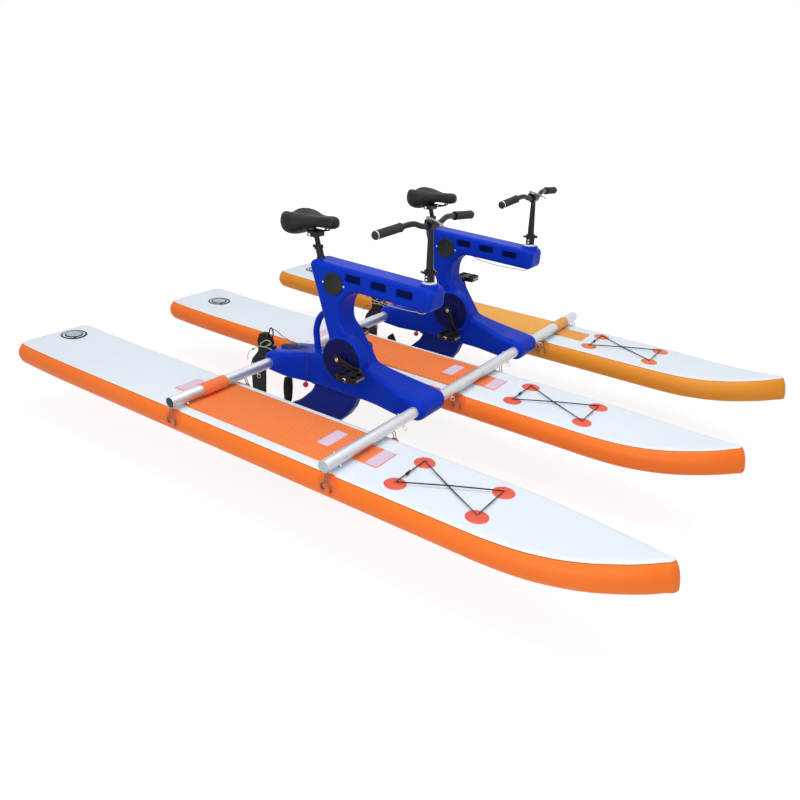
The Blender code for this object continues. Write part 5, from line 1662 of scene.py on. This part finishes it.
@dataclass
class Rudder:
    """The rudder's head with its pulley, the blade and the ropes."""

    frame: dict
    unit: Unit
    pulley: tuple[float, float] = (-0.497, 0.192)
    cheek_radius: float = 0.04
    half_width: float = 0.0135

    @property
    def side_plane(self) -> Matrix:
        """Turns an outline drawn along and up into the head's side, its third axis towards starboard."""
        return self.unit.ruddered @ UPRIGHT

    def head(self) -> None:
        """The head: two round cheeks over a grooved pulley, and the tabs round the hinge pin."""
        piece = Workpiece(f"rudder_bracket_{self.unit.word}_dressed")
        x, z = self.pulley
        cheek = [Vector((-0.464, 0.112)), *arc_points((x, z), self.cheek_radius, -35, 200, 26)]
        cheek.append(Vector((-0.532, 0.112)))
        thick = 5.0 * MILLIMETRE
        for low in (-self.half_width, self.half_width - thick):
            piece.plate(cheek, low, low + thick, Look.BLACK_ABS, self.side_plane, 0.0015)
        hub = self.unit.ruddered @ facing((x, 0, z), (0, 1, 0))
        wheel = [(0, -0.008), (0.039, -0.008), (0.039, -0.006), (0.031, -0.001), (0.031, 0.001)]
        wheel += [(0.039, 0.006), (0.039, 0.008), (0, 0.008)]
        piece.turn(wheel, Look.BLACK_ABS, hub, 40)
        raised = [(0.02, -0.0165), (0.029, -0.0165), (0.03, -0.015), (0.03, 0.015), (0.029, 0.0165)]
        piece.turn([*raised, (0.02, 0.0165)], Look.BLACK_ABS, hub, 40, ring=True)
        spine = rounded_rectangle((-0.4755, 0.1045), (-0.464, 0.1865), 0.002)
        piece.plate(spine, -self.half_width, self.half_width, Look.BLACK_ABS, self.side_plane, 0.0015)
        for low in (0.1045, 0.169):
            tab = rounded_rectangle((-0.472, -self.half_width), (-0.4385, self.half_width), 0.011)
            lifted = self.unit.ruddered @ Matrix.Translation((0, 0, low))
            piece.plate(tab, 0.0, 0.0145, Look.BLACK_ABS, lifted, 0.0012)
        pin = [(0, 0.0985), (0.006, 0.0985), (0.006, 0.1015), (0.004, 0.102), (0.004, 0.185)]
        pin += [(0.0065, 0.1855), (0.0065, 0.189), (0, 0.1895)]
        piece.turn(pin, Look.STEEL_WIRE, self.unit.ruddered @ Matrix.Translation((RUDDER_HINGE.x, 0, 0)), 24)
        shoulder = [(0, -0.001), (0.0065, -0.001), (0.0065, 0.003), (0.005, 0.0044)]
        bolt = [*shoulder, (0, 0.0048)]
        screw = [*shoulder, (0, 0.0044)]
        smaller = Matrix.Scale(0.55, 4)
        for side in (-1, 1):
            pivot = facing(KICK_PIVOT + Vector((0, side * 0.014, 0)), (0, side, 0))
            piece.turn(bolt, Look.BLACK_PAINT, self.unit.ruddered @ pivot, 24)
            rear = facing((-0.466, side * 0.014, 0.193), (0, side, 0))
            piece.turn(screw, Look.WHITE_NYLON, self.unit.ruddered @ rear @ smaller, 20)
        eye = [(-0.478, 0, 0.215), (-0.474, 0, 0.252), (-0.464, 0, 0.268), (-0.454, 0, 0.254)]
        piece.tube([*eye, (-0.458, 0, 0.215)], 0.0032, Look.BLACK_ABS, self.unit.ruddered)
        body = f"rudder_head_{self.unit.word}"
        piece.finished(body, [f"rudder_bracket_{self.unit.word}"], "black_plastic")

    def blade(self) -> None:
        """The blade, with rounded edges."""
        copy = CadCopy(self.frame, f"rudder_blade_{self.unit.word}", Look.BLACK_ABS, 1.0 * MILLIMETRE)
        copy.eased(f"rudder_{self.unit.word}", "black_plastic")

    def rope(self) -> None:
        """The pale rope looped on the head's side with its run forward, and the dark turns over the top."""
        piece = Workpiece(f"rudder_rope_{self.unit.word}")
        loop = [(-0.512, -0.02, 0.176), (-0.496, -0.024, 0.199), (-0.462, -0.022, 0.213)]
        loop += [(-0.449, -0.02, 0.203), (-0.47, -0.021, 0.187), (-0.5, -0.02, 0.173)]
        piece.tube(loop, 0.0022, Look.ROPE_PALE, self.unit.ruddered, closed=True)
        run = [ROPE_KNOT, (-0.52, -0.021, 0.171), (-0.47, -0.022, 0.176), (-0.43, -0.034, 0.178)]
        piece.tube([*run, (-0.4, -0.05, 0.19)], 0.002, Look.ROPE_PALE, self.unit.ruddered)
        piece.ball(ROPE_KNOT, 0.0048, Look.CORD_SLATE, self.unit.ruddered)
        x, z = self.pulley
        for k in range(5):
            turn = []
            for i in range(9):
                angle = math.radians(60 + 9 * i + 4 * k)
                reach = self.cheek_radius + 0.003 + 0.002 * math.sin(2.2 * i + k)
                y = -0.013 + 0.0065 * k + 0.004 * math.sin(1.4 * i + 2 * k)
                turn.append((x + reach * math.cos(angle), y, z + reach * math.sin(angle)))
            piece.tube(turn, 0.0026, Look.CORD_BLACK, self.unit.ruddered)
        piece.finished(f"rudder_head_{self.unit.word}")

    def build(self) -> None:
        """Builds the rudder and its ropes."""
        self.head()
        self.blade()
        self.rope()


@dataclass
class LiftCord:
    """The cord that lifts the rudder blade, from the head's eye to its red ball, and the rope's loose end."""

    unit: Unit
    radius: float = 0.0016
    ball_radius: float = 0.0125
    tail_radius: float = 0.0012

    def route(self) -> list[Vector]:
        """The cord's middle line, which is that of its solid."""
        points = [
            (-0.458, 0.000, 0.266),
            (-0.43, 0.000, 0.261),
            (-0.385, -0.006, 0.248),
            (-0.3, -0.02, 0.238),
            (-0.235, -0.04, 0.24),
            (-0.2, -0.06, 0.236),
            (-0.188, -0.0705, 0.218),
            (-0.187, -0.0705, 0.17),
            (-0.187, -0.0725, 0.13),
            (-0.187, -0.0785, 0.1045),
        ]
        return [self.unit.fixed @ Vector(point) for point in points]

    def build(self) -> None:
        word = self.unit.word
        ball_piece = Workpiece(f"lift_ball_{word}")
        ball = Vector((-0.187, -0.081, 0.0925))
        ball_piece.ball(ball, self.ball_radius, Look.BALL_RED, self.unit.fixed)
        collar = [(0, 0.008), (0.0042, 0.009), (0.0034, 0.015), (0, 0.016)]
        ball_piece.turn(collar, Look.BALL_RED, self.unit.fixed @ facing(ball, (0, 0.25, 1)), 20)
        knob = ball_piece.finished("boat", slot="cord_grey", angle=60)
        cord, route = self.sweep(f"lift_cord_{word}_dressed", self.route(), self.radius)
        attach(cord, "boat")
        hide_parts(f"lift_cord_{word}")

    def loose_end(self) -> None:
        """Builds the loose end of the rudder rope, which hangs from its knot."""
        points = [ROPE_KNOT, (-0.562, -0.036, 0.143), (-0.572, -0.04, 0.122), (-0.574, -0.04, 0.098)]
        placed = [self.unit.ruddered @ Vector(point) for point in points]
        tail, route = self.sweep(f"rope_end_{self.unit.word}", placed, self.tail_radius)
        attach(tail, f"rudder_head_{self.unit.word}")

    @staticmethod
    def length(route: Sequence[Vector]) -> float:
        """How long a route is."""
        return sum((after - before).length for before, after in zip(route, route[1:]))

    @staticmethod
    def sweep(name: str, points: Sequence[Vector], radius: float) -> tuple[bpy.types.Object, list[Vector]]:
        """Makes a cord as a curve of one open spline.

        Args:
            name: the piece's name.
            points: what the cord passes through.
            radius: the cord's radius.

        Returns:
            The curve's object, and the points close together that it follows.
        """
        route = smooth_route(points, 12)
        curve = round_curve(name, radius)
        spline = curve.splines.new("POLY")
        spline.points.add(len(route) - 1)
        for knot, point in zip(spline.points, route):
            knot.co = (*point, 1.0)
        curve.materials.append(Look.CORD_SLATE.material())
        return linked(name, curve), route


@dataclass
class Seat:
    """The seat post with its clamp and lever, and the saddle on its rails."""

    frame: dict
    unit: Unit
    rear_x: float = -0.345
    nose_x: float = -0.095
    half_width: float = 0.1
    rail_z: float = 0.7605

    def rings(self) -> list[tuple[float, float, float, float, float]]:
        """Sections of the padded top: station, half width, top, bottom and dip between the lobes."""
        return [
            (self.rear_x, 0.044, 0.822, 0.782, 0.01),
            (-0.339, 0.074, 0.8335, 0.764, 0.02),
            (-0.322, 0.093, 0.8405, 0.745, 0.028),
            (-0.3, self.half_width, 0.842, 0.736, 0.032),
            (-0.275, 0.098, 0.8405, 0.736, 0.03),
            (-0.25, 0.086, 0.837, 0.75, 0.024),
            (-0.222, 0.063, 0.832, 0.771, 0.016),
            (-0.19, 0.042, 0.828, 0.78, 0.009),
            (-0.158, 0.035, 0.829, 0.78, 0.004),
            (-0.128, 0.034, 0.833, 0.78, 0.001),
            (-0.107, 0.031, 0.831, 0.782, 0.0),
            (self.nose_x, 0.02, 0.821, 0.789, 0.0),
        ]

    def padding(self) -> None:
        """The padded cover: sections bridged from tail to nose and subdivided."""
        sections = []
        around = 20
        for x, half, top, bottom, dip in self.rings():
            middle = bottom + 0.42 * (top - bottom)
            section = []
            for k in range(around):
                turn = math.tau * k / around
                across = math.cos(turn)
                up = math.sin(turn)
                y = half * math.copysign(abs(across) ** 0.78, across)
                if up >= 0:
                    z = middle + (top - middle) * up**0.7 - dip * max(0.0, 1 - abs(across) / 0.62) ** 1.3
                else:
                    z = middle - (middle - bottom) * abs(up) ** 0.55
                    y *= 1 - 0.1 * abs(up)
                section.append((x, y, z))
            sections.append(section)
        node = f"saddle_{self.unit.word}"
        piece = Workpiece(f"{node}_dressed")
        piece.join(lofted(sections), Look.SADDLE_VINYL, self.placed)
        saddle = piece.finished(f"seat_{self.unit.word}", [node], "saddle_cover", angle=180)
        finer = saddle.modifiers.new("finer", "SUBSURF")
        finer.levels = finer.render_levels = 2

    @property
    def placed(self) -> Matrix:
        """Places the saddle, which the far unit has further forward."""
        return self.unit.fixed @ Matrix.Translation((self.unit.saddle_shift, 0, 0))

    def trim(self) -> None:
        """The two rails under the saddle."""
        piece = Workpiece(f"saddle_trim_{self.unit.word}")
        for side in (-1, 1):
            rail = [
                (-0.3, side * 0.034, 0.782),
                (-0.29, side * 0.028, 0.764),
                (-0.272, side * 0.022, self.rail_z),
                (-0.18, side * 0.022, self.rail_z),
                (-0.152, side * 0.017, 0.768),
                (-0.134, side * 0.012, 0.79),
            ]
            piece.tube(rail, 0.0035, Look.BLACK_PAINT, self.placed, smooth=False)
        piece.finished(f"seat_{self.unit.word}", slot="saddle_cover", angle=50)

    def post(self) -> None:
        """The post with its rail clamp, bolt and the seat tube's lever."""
        body = f"seat_{self.unit.word}"
        CadCopy(self.frame, f"seat_post_{self.unit.word}", Look.BLACK_PAINT).eased(body, "black_metal")
        lever = CadCopy(self.frame, f"seat_lever_{self.unit.word}", Look.BLACK_PAINT)
        lever.eased(f"seat_clamp_{self.unit.word}", "black_metal")
        top = SEAT_TUBE_TOP + 0.098 * SEAT_UP
        across = facing((top.x - 0.006, 0, 0.7475), (0, 1, 0))
        piece = Workpiece(f"seat_clamp_bolt_{self.unit.word}")
        shank = [(0, -0.036), (0.0065, -0.036), (0.0065, -0.031), (0.0035, -0.0305), (0.0035, 0.0305)]
        shank += [(0.0065, 0.031), (0.0065, 0.036), (0, 0.036)]
        piece.turn(shank, Look.STEEL_WIRE, self.unit.fixed @ across, 24)
        piece.finished(body)

    def build(self) -> None:
        """Builds the seat."""
        self.padding()
        self.trim()
        self.post()


@dataclass
class Steering:
    """The steering tube and stem with their levers, the handlebar and its grips."""

    frame: dict
    unit: Unit
    bar_radius: float = 0.011
    grip_radius: float = 0.0165
    grip_length: float = 0.142

    def half_route(self, side: Side) -> list[Vector]:
        """One half of the handlebar from the clamp to its end, which the two bends lead to."""
        sign = side.value
        return [
            Vector((BAR_CLAMP.x, sign * 0.03, BAR_CLAMP.z)),
            Vector((0.348, sign * 0.06, 0.879)),
            Vector((0.344, sign * 0.096, 0.8905)),
            Vector((0.34, sign * 0.128, 0.8915)),
            Vector((0.337, sign * 0.154, 0.8885)),
            Vector((0.328, sign * 0.301, 0.875)),
        ]

    def handlebar(self) -> None:
        """The glossy double-bend bar."""
        piece = Workpiece(f"handlebar_{self.unit.word}_dressed")
        left = self.half_route(Side.LEFT)
        right = self.half_route(Side.RIGHT)
        piece.tube([*reversed(right), *left], self.bar_radius, Look.BLACK_PAINT, self.unit.steered)
        body = f"bar_{self.unit.word}"
        piece.finished(body, [f"handlebar_{self.unit.word}"], "black_metal")

    def grip(self, side: Side) -> None:
        """One ribbed grip with its end plug and its pale clamp ring.

        Args:
            side: the rider's side.
        """
        route = self.half_route(side)
        outward = (route[-1] - route[-2]).normalized()
        start = route[-1] + 0.004 * outward
        matrix = self.unit.steered @ facing(start, -outward)
        piece = Workpiece(f"grip_{side.word}_{self.unit.word}_dressed")
        radius = self.grip_radius
        valley = radius - 0.0013
        collar = radius + 0.001
        profile = [(0, -0.0022), (0.01, -0.0022), (0.0125, -0.001), (0.0135, 0.0)]
        profile.append((radius - 0.0005, 0.004))
        ribs = 22
        pitch = (self.grip_length - 0.026) / ribs
        for i in range(ribs):
            height = 0.012 + i * pitch
            profile += [(valley, height), (radius, height + 0.25 * pitch), (radius, height + 0.7 * pitch)]
        inner_end = self.grip_length
        profile += [(valley, inner_end - 0.012), (collar, inner_end - 0.009)]
        profile += [(collar, inner_end - 0.0062), (0.0116, inner_end - 0.0062)]
        profile += [(0.0116, 0.002), (0, 0.002)]
        piece.turn(profile, Look.GRIP_RUBBER, matrix, 40)
        band = [(0.0118, 0.006), (0.0118, 0.0105), (radius + 0.0003, 0.0105)]
        band += [(radius + 0.0008, 0.0098), (radius + 0.0008, 0.0067), (radius + 0.0003, 0.006)]
        piece.turn(band, Look.BARE_ALUMINIUM, matrix, 40, ring=True)
        node = f"grip_{side.word}_{self.unit.word}"
        piece.finished(f"bar_{self.unit.word}", [node], "grip_rubber", angle=45)

    def posts(self) -> None:
        """The tube, stem and levers, with rounded edges, and the clamp's bolts."""
        word = self.unit.word
        bodies = {
            "stem": ("steering_stem", Look.BLACK_PAINT, "black_metal"),
            "height_lever": ("height_clamp", Look.BLACK_PAINT, "black_metal"),
            "stem_lever": ("stem_clamp", Look.GREY_CAST, "lever_grey"),
        }
        for node, (body, finish, slot) in bodies.items():
            CadCopy(self.frame, f"{node}_{word}", finish).eased(f"{body}_{word}", slot)
        tube = Workpiece(f"steering_tube_{word}_dressed")
        matrix = self.unit.steered @ facing(STEER_BASE, STEER_UP)
        wall = [(0.0128, -0.06), (0.0175, -0.06), (0.0175, 0.0115), (0.02, 0.013), (0.02, 0.042)]
        wall += [(0.0225, 0.043), (0.0225, 0.0552), (0.0217, 0.056), (0.0128, 0.056)]
        tube.turn(wall, Look.BLACK_PAINT, matrix, 48, ring=True)
        flange = [(0.0176, 0.0043), (0.029, 0.0043), (0.029, 0.0066), (0.028, 0.0074), (0.0176, 0.0112)]
        tube.turn(flange, Look.WHITE_NYLON, matrix, 48, ring=True)
        bolt = [(0, -0.001), (0.0046, -0.001), (0.0046, 0.003), (0.0034, 0.0042), (0, 0.0042)]
        for height in (0.0205, 0.033):
            for side in (-1, 1):
                spot = facing((0, side * 0.0198, height), (0, side, 0))
                tube.turn(bolt, Look.WHITE_NYLON, matrix @ spot, 20)
        tube.finished(f"steering_{word}", [f"steering_tube_{word}"], "black_metal")
        piece = Workpiece(f"stem_bolts_{word}")
        bolt = [(0, -0.001), (0.005, -0.001), (0.005, 0.004), (0.0036, 0.0052), (0, 0.0052)]
        for y in (-0.013, 0.013):
            spot = BAR_CLAMP + Vector((-0.019, y, -0.004))
            piece.turn(bolt, Look.STEEL_WIRE, self.unit.steered @ facing(spot, (-1, 0, 0)), 20)
        piece.finished(f"steering_stem_{word}")

    def build(self) -> None:
        """Builds the steering."""
        self.posts()
        self.handlebar()
        for side in Side:
            self.grip(side)


# Studio


@dataclass
class Studio:
    """The camera at the photograph's viewing angle, a pale floor and soft light."""

    camera_place: tuple[float, float, float] = (1.8194, -2.8907, 1.4639)
    yaw: float = 32.552
    pitch: float = 24.777
    roll: float = 3.745
    lens: float = 34.144
    sensor: float = 36.0
    aim: tuple[float, float, float] = (0.1, 0.0, 0.2)
    world_light: float = 0.42
    floor_reach: float = 40.0
    floor_gap: float = 4.0 * MILLIMETRE
    glow: float = 1.16
    glow_share: float = 0.74
    fade: tuple[float, float] = (2.2, 4.5)

    def camera(self) -> None:
        """Makes the camera, turned by its yaw, pitch and roll."""
        yaw, pitch, roll = (math.radians(angle) for angle in (self.yaw, self.pitch, self.roll))
        ahead = math.cos(pitch)
        forward = Vector((-math.sin(yaw) * ahead, math.cos(yaw) * ahead, -math.sin(pitch)))
        level = Vector((math.cos(yaw), math.sin(yaw), 0.0))
        up = level.cross(forward)
        right = math.cos(roll) * level + math.sin(roll) * up
        up = math.cos(roll) * up - math.sin(roll) * level
        turn = Matrix((right, up, -forward)).transposed().to_4x4()
        data = bpy.data.cameras.new("photo_camera")
        data.lens = self.lens
        data.sensor_width = self.sensor
        data.clip_end = 200.0
        made = linked("photo_camera", data)
        made.matrix_world = Matrix.Translation(self.camera_place) @ turn
        bpy.context.scene.camera = made

    def lamp(self, name: str, place: Sequence[float], size: float, watts: float) -> None:
        """Makes a square soft light that looks at the boat's middle.

        Args:
            name: the lamp's name.
            place: where it hangs.
            size: the length of its sides.
            watts: its power.
        """
        data = bpy.data.lights.new(name, "AREA")
        data.size = size
        data.energy = watts
        look = Vector(self.aim) - Vector(place)
        turn = look.to_track_quat("-Z", "Y").to_matrix().to_4x4()
        linked(name, data).matrix_world = Matrix.Translation(place) @ turn

    def shown_white(self, tree: bpy.types.NodeTree) -> bpy.types.NodeSocket:
        """One for rays from the camera, a mirror or glass, which see the white background."""
        path = add_node(tree, "ShaderNodeLightPath").outputs
        seen = {0: path["Is Camera Ray"], 1: path["Is Glossy Ray"]}
        first = add_node(tree, "ShaderNodeMath", seen, operation="MAXIMUM")
        both = {0: first.outputs[0], 1: path["Is Transmission Ray"]}
        return add_node(tree, "ShaderNodeMath", both, operation="MAXIMUM").outputs[0]

    def world(self) -> None:
        """A white backdrop that lights the boat softly."""
        made = bpy.data.worlds.new("backdrop")
        bpy.context.scene.world = made
        made.use_nodes = True
        tree = made.node_tree
        levels = {"Value": self.shown_white(tree), "To Min": self.world_light, "To Max": 1.0}
        strength = add_node(tree, "ShaderNodeMapRange", levels)
        background = tree.nodes["Background"]
        background.inputs["Color"].default_value = (1.0, 1.0, 1.0, 1.0)
        tree.links.new(strength.outputs[0], background.inputs["Strength"])

    def floor(self, level: float) -> None:
        """A pale floor that keeps a light shadow of the boat.

        Args:
            level: its height.
        """
        mesh = bmesh.new()
        bmesh.ops.create_grid(mesh, x_segments=1, y_segments=1, size=self.floor_reach)
        data = bpy.data.meshes.new("studio_floor")
        mesh.to_mesh(data)
        mesh.free()
        data.transform(Matrix.Translation((0, 0, level)))
        material = bpy.data.materials.new("pale_paper_floor")
        material.use_nodes = True
        tree = material.node_tree
        tree.nodes.clear()
        paper = add_node(tree, "ShaderNodeBsdfDiffuse", {"Color": linear("D4D6D8")})
        white = linear("FFFFFF")
        sheet = add_node(tree, "ShaderNodeBsdfDiffuse", {"Color": white})
        glow = add_node(tree, "ShaderNodeEmission", {"Color": white, "Strength": self.glow})
        shares = {0: self.glow_share, 1: sheet.outputs[0], 2: glow.outputs[0]}
        bright = add_node(tree, "ShaderNodeMixShader", shares)
        place = add_node(tree, "ShaderNodeTexCoord").outputs["Object"]
        far = add_node(tree, "ShaderNodeVectorMath", {0: place}, operation="LENGTH")
        fading = {"Value": far.outputs["Value"], "From Min": self.fade[0], "From Max": self.fade[1]}
        edge = add_node(tree, "ShaderNodeMapRange", fading, interpolation_type="SMOOTHSTEP")
        faded = {0: edge.outputs[0], 1: bright.outputs[0], 2: glow.outputs[0]}
        backdrop = add_node(tree, "ShaderNodeMixShader", faded)
        surface = {0: self.shown_white(tree), 1: paper.outputs[0], 2: backdrop.outputs[0]}
        mixed = add_node(tree, "ShaderNodeMixShader", surface)
        add_node(tree, "ShaderNodeOutputMaterial", {"Surface": mixed.outputs[0]})
        data.materials.append(material)
        linked("studio_floor", data)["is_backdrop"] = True

    def build(self, lowest: float) -> None:
        """Sets the lamps, the floor and the colour transform.

        Args:
            lowest: the height of the boat's lowest point.
        """
        self.lamp("overhead", (0.6, -0.2, 4.4), 4.0, 134.0)
        self.lamp("near_fill", (1.6, -4.4, 1.7), 3.0, 66.0)
        self.world()
        self.floor(lowest - self.floor_gap)
        bpy.context.scene.view_settings.view_transform = "Standard"


def main() -> None:
    logging.basicConfig(level=logging.INFO, format="%(message)s")
    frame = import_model()
    cad_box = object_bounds()
    studio = Studio()
    studio.camera()
    for unit in Unit:
        cords = LiftCord(unit)
        cords.build()
        cords.loose_end()
    studio.build(cad_box[0][2])
    floats = [Float(place) for place in Place]
    for hull in floats:
        hull.build()
        BowBungee(hull).build()
        Strap(hull, front=True).build()
        Strap(hull, front=False).build()
    for front in (True, False):
        Crossbar(front).build()
    for unit in Unit:
        PedalFrame(unit).build()
        Drive(frame, unit).build()
        Rudder(frame, unit).build()
        Seat(frame, unit).build()
        Steering(frame, unit).build()


if __name__ == "__main__":
    main()
